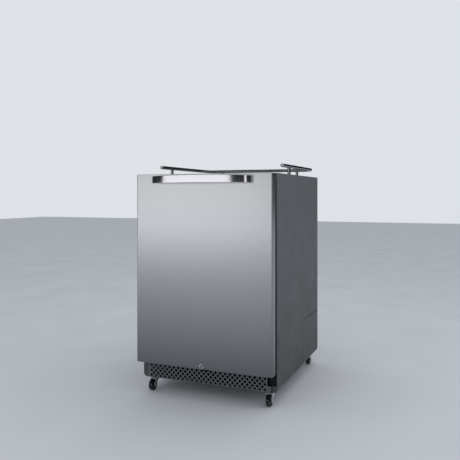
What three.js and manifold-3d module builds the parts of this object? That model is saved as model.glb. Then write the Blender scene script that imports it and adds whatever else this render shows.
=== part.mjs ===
// Under-counter keg refrigerator on casters: a steel cabinet with a stainless door, a bowed pull
// handle, a keyed lock, a perforated kick grille and a guard rail on its top.
// Millimetres, X to the right, Y to the back, Z up. The origin is on the floor under the middle.
import * as THREE from 'three';
import { mergeVertices } from 'three/addons/utils/BufferGeometryUtils.js';
import Module from 'manifold-3d';

const wasm = await Module();
wasm.setup();

// ---------------------------------------------------------------- driving dimensions
const gap = 0.3; // clearance between pieces that touch
const sheet = 1.2; // folded sheet metal
const width = 597; // cabinet and door
const right = width / 2; // outer face of the right side
const cabinetFront = 53; // Y of the cabinet's face, measured back from the door's front
const cabinetBack = 660; // Y of the rear panel's outer face
const baseLow = 58.6; // underside of the cabinet
const doorLow = 135; // lower edge of the door
const doorHigh = 908.4; // upper edge of the door
const cabinetTop = 909.8; // upper face of the top panel
const wall = 38; // insulated wall
const flange = 20; // front return of the side panels

const doorSkinDepth = 32; // folded edge of the stainless skin
const hingeX = 283; // hinge pin axis
const hingeY = 22;
const pinRadius = 4;
const lockZ = 147.4; // key lock axis

const handleHalf = 217; // half the length of the pull handle
const handleDepth = 48; // how far it stands out
const handleZ = 885.3;

const cavityHalf = right - 40; // inside of the keg compartment
const cavityLow = 170;
const cavityHigh = 868;
const cavityBack = 618.5;
const humpFront = 465; // step in the floor over the compressor
const humpTop = 300;
const machineFront = 500; // compressor bay
const machineTop = 265;

const railRadius = 7.5;
const railZ = 945.4;
const railArmX = 281;
const railFront = 166;
const railBack = 635;
const railBend = 45;
const railBackPostX = 200;
const railFrontPostY = 256;
const postRadius = 6.5;

const casterX = 262;
const casterFrontY = 88;
const casterBackY = 602;
const wheelRadius = 23;
const wheelHalf = 9;
const casterTrail = 22; // wheel axle to swivel axis
const crownTop = 50;

const towerY = 330; // tap tower port in the top
const towerRadius = 33;
const middleY = (cabinetBack - handleDepth) / 2;

// ---------------------------------------------------------------- shape helpers
const alongX = new THREE.Matrix4().set(0, 0, 1, 0, 1, 0, 0, 0, 0, 1, 0, 0, 0, 0, 0, 1);
const alongY = new THREE.Matrix4().set(0, 1, 0, 0, 0, 0, 1, 0, 1, 0, 0, 0, 0, 0, 0, 1);

// A box between two corners.
function block([x0, y0, z0], [x1, y1, z1]) {
  const geometry = new THREE.BoxGeometry(x1 - x0, y1 - y0, z1 - z0);
  return geometry.translate((x0 + x1) / 2, (y0 + y1) / 2, (z0 + z1) / 2);
}

function outline(points) {
  return new THREE.Shape(points.map(([u, v]) => new THREE.Vector2(u, v)));
}

function plate(shape, thickness) {
  return new THREE.ExtrudeGeometry(shape, { depth: thickness, bevelEnabled: false, curveSegments: 6 });
}

// An outline in (x, y) raised from z0 to z1.
function raised(points, z0, z1) {
  return plate(outline(points), z1 - z0).translate(0, 0, z0);
}

// An outline in (y, z) carried along X.
function carriedX(points, x0, x1) {
  return plate(outline(points), x1 - x0).applyMatrix4(alongX).translate(x0, 0, 0);
}

// An outline in (x, z) carried along Y.
function carriedY(points, y0, y1) {
  const turned = points.map(([x, z]) => [z, x]);
  return plate(outline(turned), y1 - y0).applyMatrix4(alongY).translate(0, y0, 0);
}

// A cylinder whose axis runs from `from` to `from` + length along X, Y or Z.
function rod(radius, length, from, axis = 'z', sides = 24) {
  const geometry = new THREE.CylinderGeometry(radius, radius, length, sides);
  geometry.rotateX(Math.PI / 2).translate(0, 0, length / 2);
  if (axis === 'x') geometry.applyMatrix4(alongX);
  if (axis === 'y') geometry.applyMatrix4(alongY);
  return geometry.translate(...from);
}

// A profile of [radius, height] pairs turned about an axis through `at`.
function turned(profile, at, axis = 'z', sides = 24) {
  const points = profile.map(([r, h]) => new THREE.Vector2(r, h));
  const geometry = new THREE.LatheGeometry(points, sides).rotateX(Math.PI / 2);
  if (axis === 'x') geometry.applyMatrix4(alongX);
  if (axis === 'y') geometry.applyMatrix4(alongY);
  return geometry.translate(...at);
}

// A ring profile, closed on itself.
function ringProfile(inner, outer, low, high) {
  return [[inner, low], [outer, low], [outer, high], [inner, high], [inner, low]];
}

// A path through given stations, so that straight runs need no steps of their own.
class StationPath extends THREE.Curve {
  constructor(stations) {
    super();
    this.stations = stations;
  }

  index(u) {
    return Math.round(u * (this.stations.length - 1));
  }

  getPointAt(u) {
    return this.stations[this.index(u)].clone();
  }

  getTangentAt(u) {
    const i = this.index(u);
    const last = this.stations.length - 1;
    const ahead = this.stations[Math.min(i + 1, last)].clone().sub(this.stations[i]);
    const behind = this.stations[i].clone().sub(this.stations[Math.max(i - 1, 0)]);
    return ahead.normalize().add(behind.normalize()).normalize();
  }
}

function tube(stations, radius, sides) {
  const section = new THREE.Shape();
  for (let i = 0; i < sides; i += 1) {
    const angle = (i / sides) * 2 * Math.PI;
    const x = radius * Math.cos(angle);
    const y = radius * Math.sin(angle);
    if (i === 0) section.moveTo(x, y);
    else section.lineTo(x, y);
  }
  const path = new StationPath(stations);
  return new THREE.ExtrudeGeometry(section, { steps: stations.length - 1, extrudePath: path });
}

// ---------------------------------------------------------------- joining and cutting
function toSolid(geometry) {
  const bare = geometry.clone();
  bare.deleteAttribute('normal');
  bare.deleteAttribute('uv');
  const merged = mergeVertices(bare, 1e-4);
  return new wasm.Manifold(new wasm.Mesh({
    numProp: 3,
    vertProperties: new Float32Array(merged.attributes.position.array),
    triVerts: new Uint32Array(merged.index.array),
  }));
}

function toGeometry(solid) {
  const mesh = solid.getMesh();
  const geometry = new THREE.BufferGeometry();
  geometry.setAttribute('position', new THREE.BufferAttribute(mesh.vertProperties, 3));
  geometry.setIndex(new THREE.BufferAttribute(mesh.triVerts, 1));
  geometry.computeVertexNormals();
  return geometry;
}

function join(first, ...others) {
  return toGeometry(others.reduce((sum, next) => sum.add(toSolid(next)), toSolid(first)));
}

function cut(first, ...others) {
  return toGeometry(others.reduce((sum, next) => sum.subtract(toSolid(next)), toSolid(first)));
}

function common(first, second) {
  return toGeometry(toSolid(first).intersect(toSolid(second)));
}

// ---------------------------------------------------------------- materials
const finish = (color, roughness, metalness) => ({ color, roughness, metalness });
const finishes = {
  stainless: finish('#b4b6ba', 0.32, 1),
  polished: finish('#c9cacf', 0.12, 1),
  cabinet: finish('#555a62', 0.5, 0.4),
  zinc: finish('#a9acb0', 0.35, 1),
  blackSteel: finish('#1b1c1f', 0.55, 0.3),
  foam: finish('#e0cf9c', 0.95, 0),
  liner: finish('#d9dcdd', 0.4, 0),
  blackPlastic: finish('#17181a', 0.6, 0),
  greyPlastic: finish('#6d7178', 0.5, 0),
  gasket: finish('#131416', 0.75, 0),
  rubber: finish('#0f1012', 0.8, 0),
  aluminium: finish('#b9bcc0', 0.4, 1),
};

const cabinet = new THREE.Group();
cabinet.position.y = -middleY;

function piece(name, geometry, look, at = [0, 0, 0]) {
  const mesh = new THREE.Mesh(geometry, new THREE.MeshStandardMaterial(finishes[look]));
  mesh.name = name;
  mesh.position.set(...at);
  cabinet.add(mesh);
  return mesh;
}

// ---------------------------------------------------------------- outer cabinet
const curl = 16; // radius of the rolled lower edge of the sides
const curlLip = 8;
const notchLow = 84.6; // hinge notch in the right front flange
const coverFront = 409; // access cover over the compressor bay
const coverHigh = 265;

// Lower outer corner of a side, as an arc of the given radius about the curl's centre.
function curlArc(radius, steps) {
  const points = [];
  for (let i = 0; i <= steps; i += 1) {
    const angle = (i / steps) * (Math.PI / 2);
    const x = right - curl + radius * Math.cos(angle);
    const z = baseLow + curl - radius * Math.sin(angle);
    points.push([x, z]);
  }
  return points;
}

function sideSection() {
  const lipX = right - curl - curlLip;
  const inner = curlArc(curl - sheet, 5).reverse();
  const outer = curlArc(curl, 5);
  return [
    [right - sheet, cabinetTop], [right, cabinetTop], ...outer,
    [lipX, baseLow], [lipX, baseLow + sheet], ...inner,
  ];
}

function sideFlange() {
  const inset = right - flange;
  return [[inset, cabinetTop], [right, cabinetTop], ...curlArc(curl, 5), [inset, baseLow]];
}

function sidePanel() {
  const wallPart = carriedY(sideSection(), cabinetFront, cabinetBack);
  const face = carriedY(sideFlange(), cabinetFront, cabinetFront + sheet);
  return join(wallPart, face);
}

function accessCoverSpace(margin) {
  const low = [right - curl - curlLip - 1, coverFront + margin, baseLow - 1];
  return block(low, [right + 1, cabinetBack + 1, coverHigh - margin]);
}

const mirrorX = new THREE.Matrix4().makeScale(-1, 1, 1);

// A mirrored copy with its triangles turned round, so that they still face outwards.
function mirrored(geometry) {
  const flipped = geometry.clone().applyMatrix4(mirrorX);
  const solid = mergeVertices(flipped, 1e-4);
  const index = solid.index.array;
  for (let i = 0; i < index.length; i += 3) {
    [index[i], index[i + 1]] = [index[i + 1], index[i]];
  }
  solid.computeVertexNormals();
  return solid;
}

const side = sidePanel();
const hingeNotch = block(
  [261, cabinetFront - 1, notchLow],
  [right - sheet - gap, cabinetFront + 20, doorLow],
);
const upperHingeLow = doorHigh - 5.5;
const upperHingeSlot = block(
  [hingeX - 9.5, cabinetFront - 1, upperHingeLow - 0.6], [hingeX + 9.5, 60, upperHingeLow + 3.6]);
piece('outer_side_left', mirrored(side), 'cabinet');
piece('outer_side_right', cut(side, hingeNotch, upperHingeSlot, accessCoverSpace(0)), 'cabinet');
piece('access_cover_right', common(side, accessCoverSpace(0.8)), 'cabinet');

const insideSheet = right - sheet - gap; // outermost X for what the side panels enclose
const towerHole = rod(towerRadius, 200, [0, towerY, cabinetTop - 100]);
const topSheet = block(
  [-insideSheet, cabinetFront + sheet + gap, cabinetTop - sheet],
  [insideSheet, cabinetBack - sheet - gap, cabinetTop],
);
const capRadius = 42;
const capSeat = rod(capRadius + gap, 20, [0, towerY, cabinetTop - 10]);
piece('top_panel', cut(topSheet, capSeat), 'cabinet');
// The cap closes the port flush with the top, its flange resting on the rim of the foam.
const capProfile = [
  [0, -12], [towerRadius - 1.5, -12], [towerRadius - 1.5, -sheet], [capRadius, -sheet], [capRadius, 0], [0, 0],
];
piece('tower_hole_cap', turned(capProfile, [0, towerY, cabinetTop]), 'blackPlastic');

piece('rear_panel', block(
  [-insideSheet, cabinetBack - sheet, coverHigh + 0.5],
  [insideSheet, cabinetBack, cabinetTop],
), 'cabinet');

// Louvred cover of the compressor bay, with an opening for the mains inlet.
function rearGrille() {
  const front = cabinetBack - sheet;
  const low = baseLow + 4;
  const half = [[0, low], [right - curl, low], [insideSheet, baseLow + curl], [insideSheet, coverHigh]];
  const other = half.slice(1).map(([x, z]) => [-x, z]).reverse();
  const cover = carriedY([...half, ...other], front, cabinetBack);
  const openings = [block([180, front - 1, 76], [212, cabinetBack + 1, 102])];
  for (let row = 0; row < 6; row += 1) {
    const low = 120 + row * 22;
    for (const x of [-250, -75, 100]) {
      openings.push(block([x, front - 1, low], [x + 150, cabinetBack + 1, low + 6]));
    }
  }
  return cut(cover, ...openings);
}
piece('rear_grille', rearGrille(), 'blackSteel');
const inletBody = block([181, cabinetBack - 24, 77], [211, cabinetBack, 101]);
const inletSocket = block([185, cabinetBack - 16, 81], [207, cabinetBack + 1, 97]);
piece('mains_inlet', cut(inletBody, inletSocket), 'blackPlastic');

const panLow = baseLow + sheet + gap;
const panX = 281;
const panBody = block([-panX, cabinetFront + 4, panLow], [panX, cabinetBack - 4, panLow + 12]);
const panInside = block(
  [2 - panX, cabinetFront + 6, panLow + 2], [panX - 2, cabinetBack - 6, panLow + 13]);
piece('base_pan', cut(panBody, panInside), 'zinc');

// ---------------------------------------------------------------- kick grille
const kickY = 46;
const kickLow = 60.6;
const kickHigh = 133;
const kickLeft = -275;
const kickRight = 276;
const notchX = 261;
const holePitch = 21.11;
const holeRowPitch = 10.6;
const holeColumns = 25;
const holeRows = 5;
const firstHoleX = -256;
const firstHoleZ = 69.3;
const holeRadius = 5.3;

// Perforated sheet with five staggered rows, a notch for the strike and a corner for the hinge.
function kickSheet() {
  const sheetOutline = [
    [kickLeft, kickLow], [kickLeft, kickHigh], [-12, kickHigh], [-12, 124], [12, 124], [12, kickHigh],
    [notchX, kickHigh], [notchX, notchLow], [kickRight, notchLow], [kickRight, kickLow],
  ];
  const holes = [];
  for (let row = 0; row < holeRows; row += 1) {
    const offset = row % 2;
    for (let column = 0; column < holeColumns - offset; column += 1) {
      const x = firstHoleX + (column + offset / 2) * holePitch;
      const z = firstHoleZ + row * holeRowPitch;
      holes.push(rod(holeRadius, 4, [x, kickY - 1, z], 'y', 6));
    }
  }
  return cut(carriedY(sheetOutline, kickY, kickY + sheet), ...holes);
}

// The sheet with its end returns, which reach back to the base pan.
function kickGrille() {
  const leftEnd = block(
    [kickLeft, kickY, kickLow], [kickLeft + sheet, cabinetFront + 3.4, kickHigh]);
  const rightEnd = block(
    [kickRight - sheet, kickY, kickLow], [kickRight, cabinetFront + 3.4, notchLow]);
  return join(kickSheet(), leftEnd, rightEnd);
}
piece('kick_grille', kickGrille(), 'cabinet');
const endCapProfile = [[0, 0], [8.5, 0], [8.5, 2], [6.5, 4.5], [3, 5.6], [0, 5.6]];
const endCap = turned(endCapProfile, [0, 0, 0], 'z', 20).rotateX(Math.PI / 2);
endCap.translate(-288.5, cabinetFront - gap, 112);
piece('hinge_hole_cap_left', endCap, 'greyPlastic');

// ---------------------------------------------------------------- inside of the cabinet
// A flat frame in the XZ plane between two rectangles given as [half width, low, high].
function frame([outerX, outerLow, outerHigh], [innerX, innerLow, innerHigh], y0, y1) {
  const outer = block([-outerX, y0, outerLow], [outerX, y1, outerHigh]);
  return cut(outer, block([-innerX, y0 - 1, innerLow], [innerX, y1 + 1, innerHigh]));
}
const face = frame(
  [right - flange - gap, doorLow + 1, cabinetTop - gap],
  [cavityHalf + gap, cavityLow - 1.5, cavityHigh + 1.2],
  cabinetFront, cabinetFront + sheet,
);
piece('face_frame', cut(face, hingeNotch, upperHingeSlot), 'blackSteel');

// Side view of the keg compartment, grown outwards by `grow`, from `front` back.
function cavityOutline(grow, front) {
  const low = cavityLow - grow;
  const high = cavityHigh + grow;
  const back = cavityBack + grow;
  return [
    [front, low], [humpFront + grow, low], [humpFront + grow, humpTop - grow],
    [back, humpTop - grow], [back, high], [front, high],
  ];
}
const linerWall = 1.5;
const linerFront = cabinetFront + sheet + gap;
const linerOuter = carriedX(
  cavityOutline(linerWall, linerFront), -cavityHalf - linerWall, cavityHalf + linerWall);
const linerInner = carriedX(cavityOutline(0, linerFront - 1), -cavityHalf, cavityHalf);
piece('inner_liner', cut(linerOuter, linerInner, towerHole), 'liner');

const foamBack = cabinetBack - sheet - gap;
const foamTop = cabinetTop - sheet - gap;
const foamLow = 137;
const foamOutline = [
  [linerFront, foamLow], [machineFront - 1, foamLow], [machineFront - 1, machineTop + 2],
  [foamBack, machineTop + 2], [foamBack, foamTop], [linerFront, foamTop],
];
const foamGap = linerWall + gap;
const foamCavity = carriedX(
  cavityOutline(foamGap, linerFront - 1), -cavityHalf - foamGap, cavityHalf + foamGap);
const foamBlock = carriedX(foamOutline, -insideSheet, insideSheet);
piece('insulation_foam', cut(foamBlock, foamCavity, towerHole, upperHingeSlot), 'foam');

const bayLow = foamLow - gap - sheet;
const bayHigh = machineTop + 0.5;
const bayOutline = [
  [linerFront, bayLow], [machineFront + 0.5, bayLow], [machineFront + 0.5, bayHigh], [foamBack, bayHigh],
  [foamBack, bayHigh + sheet], [machineFront - 0.7, bayHigh + sheet],
  [machineFront - 0.7, bayLow + sheet], [linerFront, bayLow + sheet],
];
piece('machine_bay_liner', carriedX(bayOutline, -insideSheet, insideSheet), 'zinc');

const kegPlateHigh = cavityLow + 2.3;
piece('keg_floor_plate', block([-250, 62, cavityLow + gap], [250, 460, kegPlateHigh]), 'stainless');

// Cold plate and its air circulation fan on the back wall.
piece('evaporator_plate', block([-190, 604, 420], [190, cavityBack - gap, 700]), 'aluminium');
const fanZ = 770;
const fanY = 596;
const fanBox = block([-62, 580, fanZ - 62], [62, cavityBack - gap, fanZ + 62]);
const fanTunnel = rod(54, 60, [0, 570, fanZ], 'y', 32);
const fanBack = join(
  cut(fanBox, fanTunnel),
  block([-60, 611, fanZ - 5], [60, cavityBack - gap, fanZ + 5]),
  rod(12, 8, [0, 604, fanZ], 'y'),
);
piece('evaporator_fan_housing', fanBack, 'blackPlastic');

// A fan of `blades` pitched blades on a hub, turning about Y.
function fan(radius, hub, blades, depth) {
  const hubPart = rod(hub, depth, [0, -depth / 2, 0], 'y');
  const parts = [];
  for (let i = 0; i < blades; i += 1) {
    const blade = block([-radius * 0.2, -1, hub - 3], [radius * 0.2, 1, radius]);
    blade.rotateZ(0.5).rotateY((i / blades) * 2 * Math.PI);
    parts.push(blade);
  }
  return join(hubPart, ...parts);
}
piece('evaporator_fan', fan(49, 15, 5, 12), 'greyPlastic', [0, fanY, fanZ]);

// Thermostat on the ceiling, its knob towards the door.
const knobX = 150;
const knobZ = 850;
piece('thermostat_box', block([110, 92, 832], [230, 150, cavityHigh - gap]), 'liner');
const knobProfile = [[0, 0], [12, 0], [12, 3], [10.5, 4], [9.5, 14], [0, 14]];
const knob = turned(knobProfile, [0, 0, 0]).rotateX(Math.PI / 2);
piece('thermostat_knob', knob, 'blackPlastic', [knobX, 92 - gap, knobZ]);

// ---------------------------------------------------------------- compressor bay
const bayFloor = panLow + 2 + gap;
const compressorProfile = [
  [0, 8], [62, 8], [66, 22], [70, 30], [70, 84], [73, 86], [73, 92], [69, 95], [62, 128], [40, 146], [0, 150],
];
const compressorFoot = block([-85, -55, 0], [85, 55, 9]);
const compressor = join(turned(compressorProfile, [0, 0, 0], 'z', 24), compressorFoot);
piece('compressor', compressor, 'blackSteel', [-170, 575, bayFloor]);

// Finned block with a coolant tube through it.
function condenser() {
  const fins = [];
  for (let i = 0; i < 7; i += 1) fins.push(block([i * 24, 0, 0], [i * 24 + 1.5, 44, 140]));
  const passes = [40, 100].map((z) => rod(4.5, 150, [-2, 22, z], 'x', 6));
  return join(...fins, ...passes);
}
piece('condenser', condenser(), 'blackSteel', [10, 520, bayFloor + 4]);
const coolingX = 85;
const coolingZ = 136;
const shroudBox = block([coolingX - 68, 574, coolingZ - 68], [coolingX + 68, 598, coolingZ + 68]);
const shroudHole = rod(60, 60, [coolingX, 560, coolingZ], 'y', 32);
const shroudArm = block([coolingX - 64, 594, coolingZ - 4], [coolingX + 64, 598, coolingZ + 4]);
const shroudMotor = rod(17, 26, [coolingX, 594, coolingZ], 'y');
piece('condenser_fan_shroud', join(cut(shroudBox, shroudHole), shroudArm, shroudMotor), 'blackSteel');
piece('condenser_fan', fan(55, 16, 5, 12), 'greyPlastic', [coolingX, 584, coolingZ]);

// ---------------------------------------------------------------- door
const skin = 1; // stainless sheet of the door
const doorInset = skin + gap;
const linerY = doorSkinDepth + gap;
const gasketBack = cabinetFront - gap;
const bushOuter = 7;
const bushInner = 4.15;
const pinHoleDepth = 22;
const pocketLow = doorHigh - 9; // recess over the upper hinge plate
const pocketFront = 3.6; // leaves room for the plate's edge when the door stands wide open

function doorOutline(inset, radius) {
  const x = right - inset;
  const points = [[-x, doorSkinDepth], [-x, inset + radius]];
  for (let i = 1; i <= 4; i += 1) {
    const angle = (i / 4) * (Math.PI / 2);
    points.push([-x + radius - radius * Math.cos(angle), inset + radius - radius * Math.sin(angle)]);
  }
  for (let i = 0; i <= 3; i += 1) {
    const angle = (i / 4) * (Math.PI / 2);
    points.push([x - radius + radius * Math.sin(angle), inset + radius - radius * Math.cos(angle)]);
  }
  return [...points, [x, inset + radius], [x, doorSkinDepth]];
}

const upperPocket = block([264, pocketFront, pocketLow], [right + 1, cabinetFront + 1, doorHigh + 1]);
const lowerPinHole = rod(bushOuter + gap, pinHoleDepth, [hingeX, hingeY, doorLow - 1]);
const upperPinHole = rod(bushOuter + gap, pinHoleDepth, [hingeX, hingeY, pocketLow - pinHoleDepth + 1]);
const lockHole = rod(8.5, 60, [0, -5, lockZ], 'y');
const camPocketY = 30.1;
const camPocket = block([-22, camPocketY, doorLow - 1], [22, linerY + 2.9, 168]);

const skinSolid = raised(doorOutline(0, 4), doorLow, doorHigh);
const skinInside = raised(doorOutline(skin, 3), doorLow + skin, doorHigh - skin).translate(0, 0.5, 0);
const skinCavity = join(skinInside, block(
  [-right + skin, doorSkinDepth - 3, doorLow + skin], [right - skin, doorSkinDepth + 1, doorHigh - skin]));
piece('door_skin', cut(
  skinSolid, skinCavity, upperPocket, lowerPinHole, lockHole,
  block([-22, camPocketY, doorLow - 1], [22, 40, doorLow + 2])), 'stainless');

const foamDoor = raised(doorOutline(doorInset + 0.6, 3), doorLow + doorInset, doorHigh - doorInset);
piece('door_foam', cut(
  foamDoor, upperPocket, lowerPinHole, upperPinHole, lockHole, camPocket), 'foam');

// Inner panel: a back plate with a raised frame that stops bottles and cold air.
const linerBase = block([-right + 1.6, linerY, doorLow + 1.5], [right - 1.6, linerY + 2.6, doorHigh - 1.5]);
const dike = block([-248, linerY, 178], [248, 46, 860]);
const dikeInside = block([-220, linerY + 2.6, 206], [220, 47, 832]);
const doorLiner = cut(join(linerBase, dike), dikeInside, upperPocket, camPocket);
piece('door_liner', doorLiner, 'blackPlastic');

const gasketFront = linerY + 2.6 + gap;
const seal = frame([281, 146, 893], [262, 165, 874], gasketFront, gasketBack);
piece('door_gasket', seal, 'gasket');

// ---------------------------------------------------------------- handle
// Plan of the bow: a flattened half ellipse that comes back to the door at both ends.
function bow(half, depth, steps) {
  const points = [];
  for (let i = 0; i <= steps; i += 1) {
    const angle = (i / steps - 0.5) * Math.PI;
    const flat = Math.abs(Math.cos(angle)) ** 0.6;
    points.push([half * Math.sin(angle), -gap - (depth - gap) * flat]);
  }
  return points;
}

// Elevation of the band: square ends, the lower edge nearly straight and the upper one arched.
function bandElevation(half, steps) {
  const edge = (end, rise, sign) => {
    const points = [];
    for (let i = 0; i <= steps; i += 1) {
      const t = (2 * i) / steps - 1;
      points.push([sign * half * t, handleZ + end + rise * (1 - t * t)]);
    }
    return points;
  };
  return [...edge(handleEnd / 2, 4, 1), ...edge(-handleEnd / 2, 2, -1)];
}
const handleEnd = 28; // height of the band at its ends
const bandThickness = 3;
const bandPlan = [
  ...bow(handleHalf, handleDepth, 36),
  ...bow(handleHalf - bandThickness, handleDepth - bandThickness, 36).reverse(),
];
const bandRaised = raised(bandPlan, handleZ - 25, handleZ + 25);
const bandFace = carriedY(bandElevation(handleHalf + 1, 10), -handleDepth - 1, 1);
piece('handle_band', common(bandRaised, bandFace), 'polished');
for (const [name, sign] of [['left', -1], ['right', 1]]) {
  const inner = sign * 192;
  const outer = sign * 209;
  const foot = block(
    [Math.min(inner, outer), -9, handleZ - 11], [Math.max(inner, outer), -gap, handleZ + 11]);
  piece(`handle_foot_${name}`, foot, 'zinc');
}

// ---------------------------------------------------------------- lock
const barrelProfile = [
  [6.2, -2.2], [8.2, -2.2], [9.4, -1.2], [9.4, -gap], [8, -gap], [8, 30], [6.2, 30], [6.2, -2.2],
];
piece('lock_barrel', turned(barrelProfile, [0, 0, lockZ], 'y'), 'zinc');
const plug = rod(6, 32.6, [0, -2.6, lockZ], 'y');
const keyway = block([-0.9, -4, lockZ - 4.2], [0.9, 12, lockZ + 4.2]);
piece('lock_cylinder', cut(plug, keyway), 'zinc');
const camY = 31.6;
const camBlade = block([0, camY - 1.3, lockZ - 5], [20, camY + 1.3, lockZ + 5]);
const camHub = rod(6, 2.6, [0, camY - 1.3, lockZ], 'y', 24);
piece('lock_cam', join(camHub, camBlade), 'zinc');
const strikeArm = block([-8, 24.5, 120.6], [8, kickY - gap, 122.6]);
const strikeLip = block([-8, 24.5, 120.6], [8, 26.3, 131.5]);
const strikeFoot = block([-8, kickY - gap - 1.6, 112], [8, kickY - gap, 122.6]);
piece('lock_strike', join(strikeArm, strikeLip, strikeFoot), 'blackSteel');

// ---------------------------------------------------------------- hinges
// Lower plate under the door, upper plate in the recess of the door, each with its pin.
function bracketArm(low, high) {
  const arm = block([hingeX - 9, hingeY, low], [hingeX + 9, cabinetFront + 6, high]);
  return join(rod(9, high - low, [hingeX, hingeY, low]), arm);
}
const bracketX0 = 264;
const bracketX1 = right - sheet - 2 * gap;
const lowerArmHigh = doorLow - 1;
const lowerArm = bracketArm(lowerArmHigh - 3, lowerArmHigh);
const lowerBack = block([bracketX0, cabinetFront + 3, notchLow + 1], [bracketX1, cabinetFront + 6, lowerArmHigh]);
const lowerPin = rod(pinRadius, 18, [hingeX, hingeY, lowerArmHigh - 1]);
piece('hinge_bracket_lower', join(lowerArm, lowerBack, lowerPin), 'blackSteel');
const upperArm = bracketArm(upperHingeLow, upperHingeLow + 3);
const upperPin = rod(pinRadius, 18, [hingeX, hingeY, upperHingeLow - 17]);
piece('hinge_bracket_upper', join(upperArm, upperPin), 'blackSteel');
const bush = ringProfile(bushInner, bushOuter, 0, 14);
piece('hinge_bush_lower', turned(bush, [hingeX, hingeY, doorLow + gap]), 'greyPlastic');
piece('hinge_bush_upper', turned(bush, [hingeX, hingeY, pocketLow - gap - 14]), 'greyPlastic');

// ---------------------------------------------------------------- guard rail
function railStations() {
  const half = [];
  for (let i = 0; i <= 7; i += 1) {
    const angle = (i / 7) * (Math.PI / 2);
    const x = railArmX - railBend + railBend * Math.cos(angle);
    const y = railBack - railBend + railBend * Math.sin(angle);
    half.push(new THREE.Vector3(x, y, railZ));
  }
  const other = half.map((p) => new THREE.Vector3(-p.x, p.y, p.z)).reverse();
  const start = new THREE.Vector3(railArmX, railFront, railZ);
  const end = new THREE.Vector3(-railArmX, railFront, railZ);
  return [start, ...half, ...other, end];
}
piece('guard_rail', tube(railStations(), railRadius, 14), 'polished');
const capDome = [[0, 0], [7.5, 0], [7.5, 1], [6.6, 3], [4.4, 4.6], [0, 5.2]];
for (const [name, sign] of [['left', -1], ['right', 1]]) {
  const dome = turned(capDome, [0, 0, 0], 'z', 16).rotateX(Math.PI / 2);
  piece(`rail_cap_${name}`, dome, 'greyPlastic', [sign * railArmX, railFront - gap, railZ]);
}
const posts = {
  front_left: [-railArmX, railFrontPostY],
  front_right: [railArmX, railFrontPostY],
  back_left: [-railBackPostX, railBack],
  back_right: [railBackPostX, railBack],
};
for (const [name, [x, y]] of Object.entries(posts)) {
  const low = cabinetTop + gap;
  const post = rod(postRadius, railZ - low - 3, [x, y, low], 'z', 20);
  const alongArm = name.startsWith('front');
  const saddle = alongArm
    ? rod(railRadius + gap, 40, [x, y - 20, railZ], 'y', 28)
    : rod(railRadius + gap, 40, [x - 20, y, railZ], 'x', 28);
  piece(`rail_post_${name}`, cut(post, saddle), 'polished');
}

// ---------------------------------------------------------------- casters
// Each is drawn about its swivel axis with the wheel trailing towards -Y.
function casterPlate() {
  const top = baseLow - gap;
  const kingpin = rod(pinRadius, top - 46, [0, 0, 46], 'z', 16);
  return join(
    block([-23, -23, top - 3], [23, 23, top]),
    rod(15, top - 3 - crownTop - gap + 0.5, [0, 0, crownTop + gap], 'z', 20),
    kingpin,
    rod(6.5, 2, [0, 0, crownTop - 2.5 - gap - 2], 'z', 12),
  );
}

function casterFork() {
  const crown = join(
    rod(15, 2.5, [0, 0, crownTop - 2.5], 'z', 20),
    block([-13.2, -casterTrail - 4, crownTop - 2.5], [13.2, 4, crownTop]),
  );
  const axle = [-casterTrail, wheelRadius];
  const leg = [[11, crownTop], [11, crownTop - 8]];
  for (let i = 0; i <= 5; i += 1) {
    const angle = -0.2 * Math.PI - (i / 5) * 0.9 * Math.PI;
    leg.push([axle[0] + 8 * Math.cos(angle), axle[1] + 8 * Math.sin(angle)]);
  }
  leg.push([-casterTrail - 4, crownTop - 6], [-casterTrail - 4, crownTop]);
  const fork = join(
    crown,
    carriedX(leg, -13.2, -11.2),
    carriedX(leg, 11.2, 13.2),
    rod(3, 29, [-14.5, -casterTrail, wheelRadius], 'x', 12),
  );
  return cut(fork, rod(pinRadius + 0.2, 10, [0, 0, crownTop - 6], 'z', 16));
}

// The tread is flat between its corners, so a wheel stands on a flat and not on an edge.
const wheelSides = 24;
const treadCorner = wheelRadius / Math.cos(Math.PI / wheelSides);
const wheelProfile = [
  [3.15, -9.6], [7, -9.6], [7, -6.5], [17.5, -6.5], [20, -wheelHalf], [treadCorner, -5.5],
  [treadCorner, 5.5], [20, wheelHalf], [17.5, 6.5], [7, 6.5], [7, 9.6], [3.15, 9.6], [3.15, -9.6],
];
const corners = {
  front_left: [-casterX, casterFrontY, 0],
  front_right: [casterX, casterFrontY, 0],
  back_left: [-casterX, casterBackY, Math.PI],
  back_right: [casterX, casterBackY, Math.PI],
};
for (const [name, [x, y, yaw]] of Object.entries(corners)) {
  piece(`caster_plate_${name}`, casterPlate(), 'zinc', [x, y, 0]);
  piece(`caster_fork_${name}`, casterFork().rotateZ(yaw), 'zinc', [x, y, 0]);
  const wheel = turned(wheelProfile, [0, 0, 0], 'x', wheelSides).rotateX(Math.PI / wheelSides);
  wheel.translate(0, -casterTrail, wheelRadius).rotateZ(yaw);
  piece(`caster_wheel_${name}`, wheel, 'rubber', [x, y, 0]);
}

export default cabinet;
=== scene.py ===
import math

import bmesh
import bpy
from bpy.props import FloatProperty, FloatVectorProperty, IntProperty, PointerProperty
from mathutils import Matrix, Vector


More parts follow.
